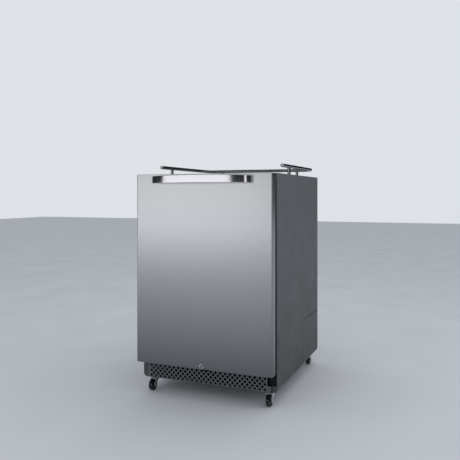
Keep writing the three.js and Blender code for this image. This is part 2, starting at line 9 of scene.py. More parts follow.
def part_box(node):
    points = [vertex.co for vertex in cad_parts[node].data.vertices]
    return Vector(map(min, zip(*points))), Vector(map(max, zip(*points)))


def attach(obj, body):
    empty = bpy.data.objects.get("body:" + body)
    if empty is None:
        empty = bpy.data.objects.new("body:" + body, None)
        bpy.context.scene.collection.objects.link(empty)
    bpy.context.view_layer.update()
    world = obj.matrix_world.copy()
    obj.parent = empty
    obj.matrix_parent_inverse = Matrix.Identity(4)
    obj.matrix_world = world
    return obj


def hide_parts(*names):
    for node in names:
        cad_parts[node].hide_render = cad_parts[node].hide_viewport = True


bl_info = {
    "name": "Keg refrigerator looks",
    "version": (1, 0, 0),
    "blender": (4, 5, 0),
    "location": "3D View > Sidebar > Keg cooler",
    "description": "Builds the visible pieces of an under-counter keg refrigerator round its frame",
    "category": "Object",
}

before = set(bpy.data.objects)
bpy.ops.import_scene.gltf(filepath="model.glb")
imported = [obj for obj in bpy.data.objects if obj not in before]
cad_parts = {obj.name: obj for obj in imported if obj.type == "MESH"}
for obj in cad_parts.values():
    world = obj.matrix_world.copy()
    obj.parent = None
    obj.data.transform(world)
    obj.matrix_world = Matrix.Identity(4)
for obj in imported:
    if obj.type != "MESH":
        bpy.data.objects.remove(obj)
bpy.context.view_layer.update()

MM = 0.001
CORNERS = ("front_left", "front_right", "back_left", "back_right")

# Lowest and highest corners of the frame's nodes that the looks are worked out from.
DOOR_LOW, DOOR_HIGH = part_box("door_skin")
SIDE_LOW, SIDE_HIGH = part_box("outer_side_right")
LINER_LOW, LINER_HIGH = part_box("inner_liner")
HALF = DOOR_HIGH.x
DOOR_FRONT = DOOR_LOW.y
FACE_Y = SIDE_LOW.y
BACK_Y = SIDE_HIGH.y
BASE_Z = SIDE_LOW.z
TOP_Z = SIDE_HIGH.z
SHEET = 1.2 * MM
GAP = 0.3 * MM

# Half width of a hinge arm, which is also how far its pin lies behind its front end.
HINGE_RADIUS = 9 * MM
# The recess in the door's lower edge in which the lock's blade turns.
RECESS_HALF, RECESS_TOP = 22 * MM, 168 * MM
# A caster's axle from its swivel axis and from the floor.
AXLE_Y, AXLE_Z = -22 * MM, 23 * MM


def linear(code):
    """An sRGB hex colour as linear red, green, blue and alpha."""
    channels = [int(code[i:i + 2], 16) / 255 for i in (1, 3, 5)]
    return [c / 12.92 if c <= 0.04045 else ((c + 0.055) / 1.055) ** 2.4 for c in channels] + [1.0]


def colour_setting(name, code):
    return FloatVectorProperty(
        name=name, description=f"Colour of the {name.lower()}", subtype="COLOR",
        size=4, min=0, max=1, default=linear(code))


def length_setting(name, description, default):
    return FloatProperty(name=name, description=description, default=default, unit="LENGTH", precision=5)


class KegCoolerLooks(bpy.types.PropertyGroup):
    """Sizes and colours that a user would change."""

    steel: colour_setting("Stainless steel", "#c6c7ca")
    # Painted shade: the door's steel is darkened to this colour at its lower edge.
    steel_painted_shade: colour_setting("Stainless steel with painted shade near the floor", "#75777b")
    polish: colour_setting("Polished steel", "#d3d3d8")
    # Painted shade: a darker copy of the polished steel, which dims the rail's mirror.
    tube: colour_setting("Rail tube", "#a2a2a8")
    lacquer: colour_setting("Cabinet lacquer", "#686a6c")
    kick: colour_setting("Kick grille lacquer", "#7f8286")
    zinc: colour_setting("Zinc plating", "#dcdddf")
    black: colour_setting("Black coating", "#101112")
    plastic: colour_setting("Black plastic", "#141517")
    grey_plastic: colour_setting("Grey plastic", "#a6a4a7")
    liner: colour_setting("Inner liner", "#dfe2e3")
    seal: colour_setting("Door seal", "#101113")
    rubber: colour_setting("Wheel rubber", "#0d0d0f")
    foam: colour_setting("Insulating foam", "#dcc68a")
    aluminium: colour_setting("Cold plate", "#c3c7ca")
    floor: colour_setting("Floor", "#cfd2d6")
    door_radius: length_setting("Door edge", "Radius of the door's front edges", 5 * MM)
    hole_radius: length_setting("Grille hole", "Radius of a hole in the kick grille", 5.3 * MM)
    hole_pitch: length_setting("Hole pitch", "Distance between holes in a row", 21.11 * MM)
    row_pitch: length_setting("Row pitch", "Distance between two rows of holes", 10.6 * MM)
    rail_radius: length_setting("Rail", "Radius of the guard rail's tube", 7.5 * MM)
    handle_thickness: length_setting("Handle", "Thickness of the pull handle's band", 3 * MM)
    grain: length_setting("Brushing", "Width of one brush stroke, drawn coarse enough to show", 0.5 * MM)
    round_steps: IntProperty(
        name="Round steps", description="Segments round a turned piece", default=48, min=12)


def looks():
    return bpy.context.scene.keg_cooler_looks


# ---------------------------------------------------------------- mesh work
AXES = {"x": (1, 2, 0), "y": (0, 2, 1), "z": (0, 1, 2)}


def placed(u, v, w, axis):
    """A point from two coordinates across an axis and one along it."""
    point = [0, 0, 0]
    for index, value in zip(AXES[axis], (u, v, w)):
        point[index] = value
    return Vector(point)


class Form:
    """Vertices and faces of one piece, gathered part by part."""

    def __init__(self):
        self.verts = []
        self.faces = []

    def add(self, verts, faces):
        base = len(self.verts)
        self.verts += [Vector(v) for v in verts]
        self.faces += [[base + i for i in face] for face in faces]
        return self

    def box(self, low, high):
        xs, ys, zs = zip(low, high)
        outline = [(xs[0], ys[0]), (xs[1], ys[0]), (xs[1], ys[1]), (xs[0], ys[1])]
        return self.prism(outline, "z", *zs)

    def prism(self, outline, axis, low, high):
        """A closed outline carried along an axis."""
        n = len(outline)
        verts = [placed(u, v, w, axis) for w in (low, high) for u, v in outline]
        sides = [[i, (i + 1) % n, n + (i + 1) % n, n + i] for i in range(n)]
        return self.add(verts, sides + [list(range(n))[::-1], list(range(n, 2 * n))])

    def turned(self, profile, centre, axis, steps=None):
        """Turns (radius, height) pairs about an axis; they start and end on it, or close on themselves."""
        steps = steps or looks().round_steps
        centre = Vector(centre)
        closed = (Vector(profile[0]) - Vector(profile[-1])).length < 1e-9
        rings = profile[:-1] if closed else profile
        verts = []
        for radius, height in rings:
            for i in range(steps):
                a = 2 * math.pi * i / steps
                verts.append(centre + placed(radius * math.cos(a), radius * math.sin(a), height, axis))
        count = len(rings)
        faces = []
        for k in range(count if closed else count - 1):
            low, high = k * steps, ((k + 1) % count) * steps
            for i in range(steps):
                j = (i + 1) % steps
                faces.append([low + i, low + j, high + j, high + i])
        return self.add(verts, faces)

    def rings(self, rings, closed=False):
        """Skins rings of equal length; open ends are capped unless the rings close on themselves."""
        n, count = len(rings[0]), len(rings)
        verts = [point for ring in rings for point in ring]
        faces = []
        for k in range(count if closed else count - 1):
            low, high = k * n, ((k + 1) % count) * n
            faces += [[low + i, low + (i + 1) % n, high + (i + 1) % n, high + i] for i in range(n)]
        if not closed:
            faces += [list(range(n))[::-1], list(range((count - 1) * n, count * n))]
        return self.add(verts, faces)

    def moved(self, matrix):
        self.verts = [matrix @ v for v in self.verts]
        return self

    def object(self, name):
        obj = mesh_object(name, self.verts, faces=self.faces)
        tidy_mesh(obj.data)
        return obj


def linked(name, data):
    """Puts a mesh, light or camera in the scene as an object."""
    obj = bpy.data.objects.new(name, data)
    bpy.context.scene.collection.objects.link(obj)
    return obj


def mesh_object(name, verts, edges=(), faces=()):
    """A mesh object straight from its points."""
    mesh = bpy.data.meshes.new(name)
    mesh.from_pydata(verts, edges, faces)
    return linked(name, mesh)


def profile(points, base=0.0, way=1):
    """A turned outline given in millimetres, its heights counted from a base along or against the axis."""
    return [(radius * MM, base + way * height * MM) for radius, height in points]


def rod(radius, low, high, centre, axis, steps=None):
    """A plain round bar, which also serves as the tool for a round hole."""
    return Form().turned([(0, low), (radius, low), (radius, high), (0, high)], centre, axis, steps)


def tidy_mesh(mesh):
    """Merges doubles, which closes poles and seams, and turns all faces outwards."""
    work = bmesh.new()
    work.from_mesh(mesh)
    bmesh.ops.remove_doubles(work, verts=work.verts, dist=2e-6)
    bmesh.ops.recalc_face_normals(work, faces=work.faces)
    work.to_mesh(mesh)
    work.free()


def settle(obj):
    """Turns an object's modifiers into plain mesh."""
    graph = bpy.context.evaluated_depsgraph_get()
    mesh = bpy.data.meshes.new_from_object(obj.evaluated_get(graph), depsgraph=graph)
    obj.modifiers.clear()
    obj.data = mesh
    return obj


def bevelled(obj, width, segments=3):
    """Rounds every edge sharper than 40 degrees."""
    bevel = obj.modifiers.new("bevel", "BEVEL")
    bevel.width = width
    bevel.segments = segments
    bevel.limit_method = "ANGLE"
    bevel.angle_limit = math.radians(40)
    return settle(obj)


def combined(obj, other, operation="DIFFERENCE"):
    """Cuts or joins with a helper form, which is then removed."""
    tool = other.object("tool") if isinstance(other, Form) else other
    boolean = obj.modifiers.new("boolean", "BOOLEAN")
    boolean.operation = operation
    boolean.solver = "EXACT"
    boolean.object = tool
    settle(obj)
    bpy.data.objects.remove(tool)
    return obj


def arc(centre, radius, start, end, steps):
    """Points of an arc between two angles, which are counted in quarter turns."""
    points = []
    for i in range(steps + 1):
        a = (start + (end - start) * i / steps) * math.pi / 2
        points.append((centre[0] + radius * math.cos(a), centre[1] + radius * math.sin(a)))
    return points


def rounded(width, height, radius, centre=(0, 0)):
    """Outline of a rectangle with rounded corners."""
    points = []
    for turn, (sx, sy) in enumerate(((1, 1), (-1, 1), (-1, -1), (1, -1))):
        corner = (centre[0] + sx * (width / 2 - radius), centre[1] + sy * (height / 2 - radius))
        points += arc(corner, radius, turn, turn + 1, 6)
    return points


def finished(obj, key, replaces=(), body="cabinet", angle=32):
    """Smooths the shading, gives a finish, and fixes the piece to its body."""
    obj.data.shade_smooth()
    obj.data.set_sharp_from_angle(angle=math.radians(angle))
    normals = obj.modifiers.new("normals", "WEIGHTED_NORMAL")
    normals.keep_sharp = True
    settle(obj)
    if not obj.data.materials:
        obj.data.materials.append(finish(key))
    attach(obj, body)
    if replaces:
        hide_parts(*replaces)
    return obj


# ---------------------------------------------------------------- node trees
def add(tree, kind, inputs=None, **settings):
    """Adds one node with its settings; an input takes a value or a socket to link."""
    node = tree.nodes.new(kind)
    for key, value in settings.items():
        setattr(node, key, value)
    for key, value in (inputs or {}).items():
        if isinstance(value, bpy.types.NodeSocket):
            tree.links.new(value, node.inputs[key])
        else:
            node.inputs[key].default_value = value
    return node


def geometry_tree(name, sockets):
    """A geometry tree with named inputs; returns it with its group input node."""
    tree = bpy.data.node_groups.new(name, "GeometryNodeTree")
    tree.interface.new_socket("Geometry", in_out="INPUT", socket_type="NodeSocketGeometry")
    for label, kind in sockets:
        tree.interface.new_socket(label, in_out="INPUT", socket_type=kind)
    tree.interface.new_socket("Geometry", in_out="OUTPUT", socket_type="NodeSocketGeometry")
    return tree, tree.nodes.new("NodeGroupInput")


def close_tree(tree, geometry, material):
    """Ends a tree in Realize Instances and Set Material."""
    whole = add(tree, "GeometryNodeRealizeInstances", {"Geometry": geometry})
    painted = add(tree, "GeometryNodeSetMaterial", {"Geometry": whole.outputs[0], "Material": material})
    add(tree, "NodeGroupOutput", {"Geometry": painted.outputs[0]})
    return tree


_made = {}


def once(maker):
    """What a maker gives, made when it is first asked for."""
    if maker not in _made:
        _made[maker] = maker()
    return _made[maker]


def run_tree(obj, maker, values):
    """Runs a tree on an object with inputs set by identifier, and keeps the result as plain mesh."""
    tree = once(maker)
    modifier = obj.modifiers.new(tree.name, "NODES")
    modifier.node_group = tree
    identifiers = {item.name: item.identifier for item in tree.interface.items_tree if item.in_out == "INPUT"}
    for label, value in values.items():
        modifier[identifiers[label]] = value
    settle(obj)
    tidy_mesh(obj.data)
    return obj


def repeat_tree():
    """Copies of one piece on the vertices of a mesh, each turned by that vertex's `turn`."""
    tree, start = geometry_tree("Repeated pieces", [
        ("Piece", "NodeSocketObject"), ("Material", "NodeSocketMaterial")])
    source = add(tree, "GeometryNodeObjectInfo", {"Object": start.outputs["Piece"]})
    turn = add(tree, "GeometryNodeInputNamedAttribute", {"Name": "turn"}, data_type="FLOAT_VECTOR")
    copies = add(tree, "GeometryNodeInstanceOnPoints", {
        "Points": start.outputs["Geometry"],
        "Instance": source.outputs["Geometry"],
        "Rotation": turn.outputs["Attribute"],
    })
    return close_tree(tree, copies.outputs[0], start.outputs["Material"])


def sweep_tree():
    """A round tube along the edges of a mesh."""
    tree, start = geometry_tree("Swept tube", [
        ("Radius", "NodeSocketFloat"), ("Sides", "NodeSocketInt"), ("Material", "NodeSocketMaterial")])
    path = add(tree, "GeometryNodeMeshToCurve", {"Mesh": start.outputs["Geometry"]})
    ring = add(tree, "GeometryNodeCurvePrimitiveCircle", {
        "Radius": start.outputs["Radius"], "Resolution": start.outputs["Sides"]})
    skin = add(tree, "GeometryNodeCurveToMesh", {
        "Curve": path.outputs[0], "Profile Curve": ring.outputs[0], "Fill Caps": True})
    return close_tree(tree, skin.outputs[0], start.outputs["Material"])


def perforation_tree():
    """Holes through a sheet: the copies of a punch on the vertices of a mesh are cut away."""
    tree, start = geometry_tree("Perforations", [
        ("Places", "NodeSocketObject"), ("Punch", "NodeSocketObject"), ("Material", "NodeSocketMaterial")])
    places = add(tree, "GeometryNodeObjectInfo", {"Object": start.outputs["Places"]})
    punch = add(tree, "GeometryNodeObjectInfo", {"Object": start.outputs["Punch"]})
    punches = add(tree, "GeometryNodeInstanceOnPoints", {
        "Points": places.outputs["Geometry"], "Instance": punch.outputs["Geometry"]})
    solid = add(tree, "GeometryNodeRealizeInstances", {"Geometry": punches.outputs[0]})
    holed = add(tree, "GeometryNodeMeshBoolean", {
        "Mesh 1": start.outputs["Geometry"], "Mesh 2": solid.outputs[0]}, operation="DIFFERENCE")
    return close_tree(tree, holed.outputs[0], start.outputs["Material"])


def places_object(places):
    """A mesh of loose vertices at (position, turn) pairs."""
    obj = mesh_object("places", [position for position, _ in places])
    turns = obj.data.attributes.new("turn", "FLOAT_VECTOR", "POINT")
    for item, (_, turn) in zip(turns.data, places):
        item.vector = turn
    return obj


def repeated(name, unit, places, key, replaces=()):
    """One piece made of copies of a unit form at the given places."""
    source = unit.object("unit") if isinstance(unit, Form) else unit
    obj = places_object(places)
    obj.name = name
    run_tree(obj, repeat_tree, {"Piece": source, "Material": finish(key)})
    bpy.data.objects.remove(source)
    return finished(obj, key, replaces)


def swept(name, path, radius, key, replaces=(), *, sides, closed=False):
    """A tube along a path of points."""
    edges = [(i, i + 1) for i in range(len(path) - 1)]
    if closed:
        edges.append((len(path) - 1, 0))
    obj = mesh_object(name, path, edges)
    run_tree(obj, sweep_tree, {"Radius": radius, "Sides": sides, "Material": finish(key)})
    return finished(obj, key, replaces, angle=50)


def perforated(obj, punch, places, key):
    """Cuts a copy of the punch out of a sheet at each place."""
    spots = places_object([(place, (0, 0, 0)) for place in places])
    tool = punch.object("punch")
    run_tree(obj, perforation_tree, {"Places": spots, "Punch": tool, "Material": finish(key)})
    bpy.data.objects.remove(spots)
    bpy.data.objects.remove(tool)
    return obj


# ---------------------------------------------------------------- materials
def start_material(name, colour, roughness, metallic=0.0):
    """A new material with its shader and the object's own coordinates."""
    material = bpy.data.materials.new(name)
    material.use_nodes = True
    tree = material.node_tree
    shader = tree.nodes["Principled BSDF"]
    shader.inputs["Base Color"].default_value = colour
    shader.inputs["Roughness"].default_value = roughness
    shader.inputs["Metallic"].default_value = metallic
    coords = add(tree, "ShaderNodeTexCoord").outputs["Object"]
    return material, tree, shader, coords


def pattern(tree, coords, size, stretch=(1, 1, 1), detail=3.0):
    """Noise whose blotches are `size` metres across, drawn out along the axes with a larger stretch."""
    scale = [1 / (size * s) for s in stretch]
    mapping = add(tree, "ShaderNodeMapping", {"Vector": coords, "Scale": scale})
    return add(tree, "ShaderNodeTexNoise", {
        "Vector": mapping.outputs[0], "Scale": 1.0, "Detail": detail}).outputs["Fac"]


def vary(tree, shader, socket, noise, low, high):
    """Spreads a shader number between two values by a noise."""
    spread = add(tree, "ShaderNodeMapRange", {
        "Value": noise, "From Min": 0.3, "From Max": 0.7, "To Min": low, "To Max": high})
    tree.links.new(spread.outputs[0], shader.inputs[socket])


def tint(tree, shader, factor, first, second, clamp=(0.3, 0.7)):
    """Mixes two base colours by a factor."""
    spread = add(tree, "ShaderNodeMapRange", {"Value": factor, "From Min": clamp[0], "From Max": clamp[1]})
    mix = add(tree, "ShaderNodeMix", {"Factor": spread.outputs[0]}, data_type="RGBA")
    mix.inputs[6].default_value = first
    mix.inputs[7].default_value = second
    tree.links.new(mix.outputs[2], shader.inputs["Base Color"])


def relief(tree, shader, height, depth):
    """Bump of a given depth in metres."""
    bump = add(tree, "ShaderNodeBump", {"Height": height, "Strength": 1.0, "Distance": depth})
    tree.links.new(bump.outputs[0], shader.inputs["Normal"])


def shaded(colour, factor):
    """A colour made darker or lighter."""
    return [c * factor for c in colour[:3]] + [1.0]


def brushed_stainless():
    """Stainless sheet, brushed upright and left semi-bright: long strokes blur what it mirrors; its colour
    darkens towards the floor as painted shade.
    """
    look = looks()
    material, tree, shader, coords = start_material("brushed_stainless", look.steel, 0.3, 1.0)
    strokes = pattern(tree, coords, look.grain, (1, 1, 90), 2.0)
    vary(tree, shader, "Roughness", strokes, 0.29, 0.35)
    relief(tree, shader, strokes, 0.012 * MM)
    # Painted shade: the base colour runs from a darker steel at the door's lower edge up to the plain steel
    # 0.55 m higher.
    height = add(tree, "ShaderNodeSeparateXYZ", {"Vector": coords}).outputs["Z"]
    tint(tree, shader, height, look.steel_painted_shade, look.steel, (DOOR_LOW.z, DOOR_LOW.z + 0.55))
    return material


def polished(name, colour):
    """Steel polished on a wheel: a sharp mirror with faint polishing haze."""
    material, tree, shader, coords = start_material(name, colour, 0.12, 1.0)
    haze = pattern(tree, coords, 14 * MM)
    vary(tree, shader, "Roughness", haze, 0.12, 0.15)
    relief(tree, shader, pattern(tree, coords, 1.2 * MM, (20, 1, 1)), 0.004 * MM)
    return material


def lacquer(name, colour, roughness):
    """Sheet steel with baked satin lacquer: fine orange peel, a slightly cloudy gloss, and painted shade that
    darkens it towards the floor.
    """
    material, tree, shader, coords = start_material(name, colour, roughness)
    cloud = pattern(tree, coords, 90 * MM)
    vary(tree, shader, "Roughness", cloud, roughness - 0.04, roughness + 0.06)
    # Painted shade: the colour falls to 0.4 of itself at the foot of the cabinet and rises to the full colour
    # at its top.
    height = add(tree, "ShaderNodeSeparateXYZ", {"Vector": coords}).outputs["Z"]
    tint(tree, shader, height, shaded(colour, 0.4), colour, (BASE_Z, TOP_Z))
    relief(tree, shader, pattern(tree, coords, 1.6 * MM), 0.02 * MM)
    shader.inputs["Specular IOR Level"].default_value = 0.25
    return material


def zinc_plating():
    """Stamped steel with bright zinc plating: small spangles of lighter and darker metal."""
    colour = looks().zinc
    material, tree, shader, coords = start_material("zinc_plating", colour, 0.3, 1.0)
    spangle = pattern(tree, coords, 5 * MM)
    tint(tree, shader, spangle, shaded(colour, 0.88), colour)
    vary(tree, shader, "Roughness", spangle, 0.2, 0.28)
    relief(tree, shader, pattern(tree, coords, 0.8 * MM), 0.01 * MM)
    return material


def black_coating():
    """Powder-coated steel: matt black with the fine pebble of baked powder."""
    material, tree, shader, coords = start_material("black_powder_coat", looks().black, 0.5)
    vary(tree, shader, "Roughness", pattern(tree, coords, 12 * MM), 0.42, 0.6)
    shader.inputs["Specular IOR Level"].default_value = 0.2
    relief(tree, shader, pattern(tree, coords, 0.9 * MM), 0.03 * MM)
    return material


def moulded(name, colour, roughness, grain):
    """Moulded plastic: a leather-like tool grain and a little variation in gloss."""
    material, tree, shader, coords = start_material(name, colour, roughness)
    vary(tree, shader, "Roughness", pattern(tree, coords, 25 * MM), roughness - 0.05, roughness + 0.07)
    relief(tree, shader, pattern(tree, coords, grain), 0.02 * MM)
    return material


def extruded_seal():
    """Soft vinyl door seal: dull black with faint die lines and a dusty bloom."""
    colour = looks().seal
    material, tree, shader, coords = start_material("extruded_vinyl_seal", colour, 0.6)
    tint(tree, shader, pattern(tree, coords, 30 * MM), colour, shaded(colour, 2.2))
    relief(tree, shader, pattern(tree, coords, 1.5 * MM), 0.03 * MM)
    return material


def wheel_rubber():
    """Moulded rubber wheel: black with a waxy gloss that is rubbed dull in patches."""
    colour = looks().rubber
    material, tree, shader, coords = start_material("moulded_rubber", colour, 0.35)
    worn = pattern(tree, coords, 6 * MM)
    tint(tree, shader, worn, shaded(colour, 2.5), colour)
    vary(tree, shader, "Roughness", worn, 0.08, 0.16)
    relief(tree, shader, pattern(tree, coords, 0.8 * MM), 0.02 * MM)
    return material


def cut_foam():
    """Rigid polyurethane foam poured in place: pale yellow with small closed cells."""
    colour = looks().foam
    material, tree, shader, coords = start_material("poured_foam", colour, 0.95)
    scaled = add(tree, "ShaderNodeMapping", {"Vector": coords, "Scale": [1 / (1.5 * MM)] * 3})
    cells = add(tree, "ShaderNodeTexVoronoi", {"Vector": scaled.outputs[0], "Scale": 1.0}).outputs["Distance"]
    tint(tree, shader, cells, shaded(colour, 0.75), colour, (0.1, 0.7))
    relief(tree, shader, cells, 0.3 * MM)
    return material


def rolled_aluminium():
    """Roll-bonded aluminium sheet: pale satin metal with rolling lines across it."""
    colour = looks().aluminium
    material, tree, shader, coords = start_material("rolled_aluminium", colour, 0.4, 1.0)
    lines = pattern(tree, coords, 0.6 * MM, (60, 1, 1))
    vary(tree, shader, "Roughness", lines, 0.34, 0.48)
    relief(tree, shader, lines, 0.01 * MM)
    return material


MAKERS = {
    "stainless": brushed_stainless,
    "polish": lambda: polished("polished_steel", looks().polish),
    # Painted shade: the same polished steel darkened, for the rail, its posts and the lock plug.
    "tube": lambda: polished("polished_steel_painted_shade", looks().tube),
    "lacquer": lambda: lacquer("satin_lacquer", looks().lacquer, 0.42),
    "kick": lambda: lacquer("kick_grille_lacquer", looks().kick, 0.4),
    "zinc": zinc_plating,
    "black": black_coating,
    "plastic": lambda: moulded("grained_black_abs", looks().plastic, 0.45, 0.7 * MM),
    "grey_plastic": lambda: moulded("grey_polypropylene", looks().grey_plastic, 0.42, 0.8 * MM),
    "liner": lambda: moulded("vacuum_formed_polystyrene", looks().liner, 0.42, 3 * MM),
    "seal": extruded_seal,
    "rubber": wheel_rubber,
    "foam": cut_foam,
    "aluminium": rolled_aluminium,
}


def finish(key):
    """The material of a finish."""
    return once(MAKERS[key])


def repaint(key, *nodes):
    """Gives carried-over nodes of the frame a finish."""
    for name in nodes:
        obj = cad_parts[name]
        obj.data.materials.clear()
        obj.data.materials.append(finish(key))


# ---------------------------------------------------------------- fasteners
def screw_form(radius):
    """A pan head with a cross recess, its washer face at the origin and its axis along +Z."""
    head = Form().turned([
        (0, 0), (radius, 0), (radius, 0.25 * radius), (0.85 * radius, 0.5 * radius),
        (0.5 * radius, 0.66 * radius), (0, 0.7 * radius)], (0, 0, 0), "z", 20)
    obj = head.object("unit")
    arm = 0.5 * radius
    thin = 0.11 * radius
    for ax, ay in ((arm, thin), (thin, arm)):
        combined(obj, Form().box((-ax, -ay, 0.35 * radius), (ax, ay, radius)))
    return obj


TOWARDS = {
    "-y": (math.pi / 2, 0, 0), "+y": (-math.pi / 2, 0, 0), "+x": (0, math.pi / 2, 0),
    "-x": (0, -math.pi / 2, 0), "+z": (0, 0, 0), "-z": (math.pi, 0, 0),
}


def screws(name, points, facing, radius, key="zinc"):
    """Screw heads at points of a surface, all facing one way."""
    places = [(point, TOWARDS[facing]) for point in points]
    return repeated(name, screw_form(radius), places, key)


# ---------------------------------------------------------------- door
def door_outline(inset, radius, back):
    """Plan of the door: rounded front corners, open towards the back."""
    half = HALF - inset
    front = DOOR_FRONT + inset
    right = arc((half - radius, front + radius), radius, 0, -1, 8)
    left = arc((radius - half, front + radius), radius, -1, -2, 8)
    return [(half, back), *right, *left, (-half, back)]


# Inner front corner of the recess that clears the upper hinge plate.
POCKET_LOW = Vector((264 * MM, DOOR_FRONT + 3.6 * MM, DOOR_HIGH.z - 9 * MM))


class KEGCOOLER_OT_door_skin(bpy.types.Operator):
    """The folded stainless skin of the door with its lock hole and hinge recess"""

    bl_idname = "keg_cooler.door_skin"
    bl_label = "Door skin"

    def execute(self, context):
        back = DOOR_HIGH.y
        form = Form().prism(door_outline(0, looks().door_radius, back), "z", DOOR_LOW.z, DOOR_HIGH.z)
        obj = bevelled(form.object("door_panel"), 1.2 * MM)
        inner = door_outline(MM, looks().door_radius - MM, back + 5 * MM)
        combined(obj, Form().prism(inner, "z", DOOR_LOW.z + MM, DOOR_HIGH.z - MM))
        lock_low, lock_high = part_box("lock_barrel")
        centre = (lock_low + lock_high) / 2
        combined(obj, rod(8.4 * MM, -20 * MM, 20 * MM, (0, DOOR_FRONT, centre.z), "y"))
        arm_low, arm_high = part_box("hinge_bracket_upper")
        combined(obj, Form().box(POCKET_LOW, (HALF + MM, back + MM, DOOR_HIGH.z + MM)))
        pin = ((arm_low.x + arm_high.x) / 2, arm_low.y + HINGE_RADIUS)
        combined(obj, rod(7.3 * MM, -5 * MM, 5 * MM, (*pin, DOOR_LOW.z), "z"))
        combined(obj, Form().box((-RECESS_HALF, DOOR_FRONT + 30.1 * MM, DOOR_LOW.z - MM),
                                 (RECESS_HALF, back + MM, DOOR_LOW.z + 3 * MM)))
        finished(obj, "stainless", ["door_skin"], body="door")
        self.pocket(pin)
        return {"FINISHED"}

    def pocket(self, pin):
        """Lining of the recess over the upper hinge, open at its top, side and back."""
        wall = 0.8 * MM
        proud = Vector((0.1, 0.1, 0.1)) * MM
        outer_high = (HALF - 0.4 * MM, DOOR_HIGH.y + 13 * MM, DOOR_HIGH.z - 0.4 * MM)
        block = Form().box(POCKET_LOW + proud - Vector((wall, wall, wall)), outer_high)
        lining = block.object("hinge_pocket_lining")
        combined(lining, Form().box(POCKET_LOW + proud, [c + 20 * MM for c in outer_high]))
        combined(lining, rod(7.1 * MM, -5 * MM, 5 * MM, (*pin, POCKET_LOW.z), "z"))
        finished(lining, "plastic", body="door")


class KEGCOOLER_OT_door_inside(bpy.types.Operator):
    """The moulded inner panel of the door and the magnetic seal round it"""

    bl_idname = "keg_cooler.door_inside"
    bl_label = "Door inside"

    def execute(self, context):
        low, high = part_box("door_liner")
        face = low.y + 2.6 * MM
        base = Form().box(low, (high.x, face, high.z)).object("door_inner_panel")
        mid = (low.z + high.z) / 2
        wide, tall, rim, centre = 496 * MM, 682 * MM, 56 * MM, (0, 519 * MM)
        dike = Form().prism(rounded(wide, tall, 22 * MM, centre), "y", low.y + MM, high.y)
        combined(base, dike, "UNION")
        recess = rounded(wide - rim, tall - rim, 16 * MM, centre)
        combined(base, Form().prism(recess, "y", face, high.y + MM))
        for i in range(5):
            rib = rounded(380 * MM, 16 * MM, 8 * MM, (0, mid + (i - 2) * 110 * MM))
            combined(base, Form().prism(rib, "y", low.y + MM, low.y + 5.5 * MM), "UNION")
        bevelled(base, 1.6 * MM, 3)
        lip = 0.6 * MM
        flange = Form().box((-HALF + lip, low.y - 0.25 * MM, DOOR_LOW.z + lip),
                            (HALF - lip, low.y + MM, DOOR_HIGH.z - lip))
        combined(base, flange, "UNION")
        combined(base, Form().box(POCKET_LOW, (HALF + MM, high.y + MM, DOOR_HIGH.z + MM)))
        combined(base, Form().box((-RECESS_HALF, low.y - MM, DOOR_LOW.z - MM),
                                  (RECESS_HALF, low.y + 3 * MM, RECESS_TOP)))
        finished(base, "plastic", ["door_liner"], body="door")
        play = 0.1 * MM
        floor = Form().box((play - RECESS_HALF, low.y - 2.15 * MM, DOOR_LOW.z + 0.2 * MM),
                           (RECESS_HALF - play, low.y - 1.75 * MM, RECESS_TOP - play))
        finished(floor.object("lock_recess_lining"), "plastic", body="door")
        self.seal()
        repaint("foam", "door_foam")
        return {"FINISHED"}

    def seal(self):
        """Bellows and magnet section carried round the door with mitred corners."""
        low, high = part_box("door_gasket")
        half = 9.5 * MM
        deep = high.y - low.y
        section = [
            (-half, 0), (half, 0), (half, 0.14), (0.6 * half, 0.2), (0.82 * half, 0.34), (0.55 * half, 0.48),
            (half, 0.6), (half, 0.93), (0.8 * half, 1), (-0.8 * half, 1), (-half, 0.93), (-half, 0.6),
            (-0.55 * half, 0.48), (-0.82 * half, 0.34), (-0.6 * half, 0.2), (-half, 0.14)]
        rings = []
        for sx, sz in ((-1, -1), (1, -1), (1, 1), (-1, 1)):
            x = sx * (high.x - half)
            z = low.z + half if sz < 0 else high.z - half
            rings.append([Vector((x + sx * u, low.y + v * deep, z + sz * u)) for u, v in section])
        obj = bevelled(Form().rings(rings, closed=True).object("door_seal"), 0.5 * MM, 2)
        finished(obj, "seal", ["door_gasket"], body="door")


class KEGCOOLER_OT_pull_handle(bpy.types.Operator):
    """The bowed flat band across the top of the door and its two feet"""

    bl_idname = "keg_cooler.pull_handle"
    bl_label = "Pull handle"

    def execute(self, context):
        low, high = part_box("handle_band")
        half = high.x
        depth = DOOR_FRONT - low.y
        thick = looks().handle_thickness
        edge = 0.9 * MM
        low_rise, high_rise = 2 * MM, 4 * MM
        rings = []
        stations = 120
        for i in range(stations + 1):
            a = (i / stations - 0.5) * math.pi
            flat = abs(math.cos(a)) ** 0.6
            outer = Vector((half * math.sin(a), DOOR_FRONT - GAP - (depth - GAP) * flat))
            inner = Vector(((half - thick) * math.sin(a), DOOR_FRONT - GAP - (depth - thick - GAP) * flat))
            arch = 1 - (outer.x / half) ** 2
            bottom = low.z + low_rise * arch
            top = high.z - high_rise * (1 - arch)
            ring = []
            for share, height in (
                    (0, top - edge), (0.3, top), (0.7, top), (1, top - edge),
                    (1, bottom + edge), (0.7, bottom), (0.3, bottom), (0, bottom + edge)):
                spot = inner.lerp(outer, share)
                ring.append(Vector((spot.x, spot.y, height)))
            rings.append(ring)
        obj = Form().rings(rings).object("pull_handle")
        finished(obj, "polish", ["handle_band"], body="door", angle=50)
        for side in ("left", "right"):
            foot_low, foot_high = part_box("handle_foot_" + side)
            foot = bevelled(Form().box(foot_low, foot_high).object("handle_foot_block_" + side), 1.5 * MM)
            finished(foot, "zinc", ["handle_foot_" + side], body="door")
        return {"FINISHED"}


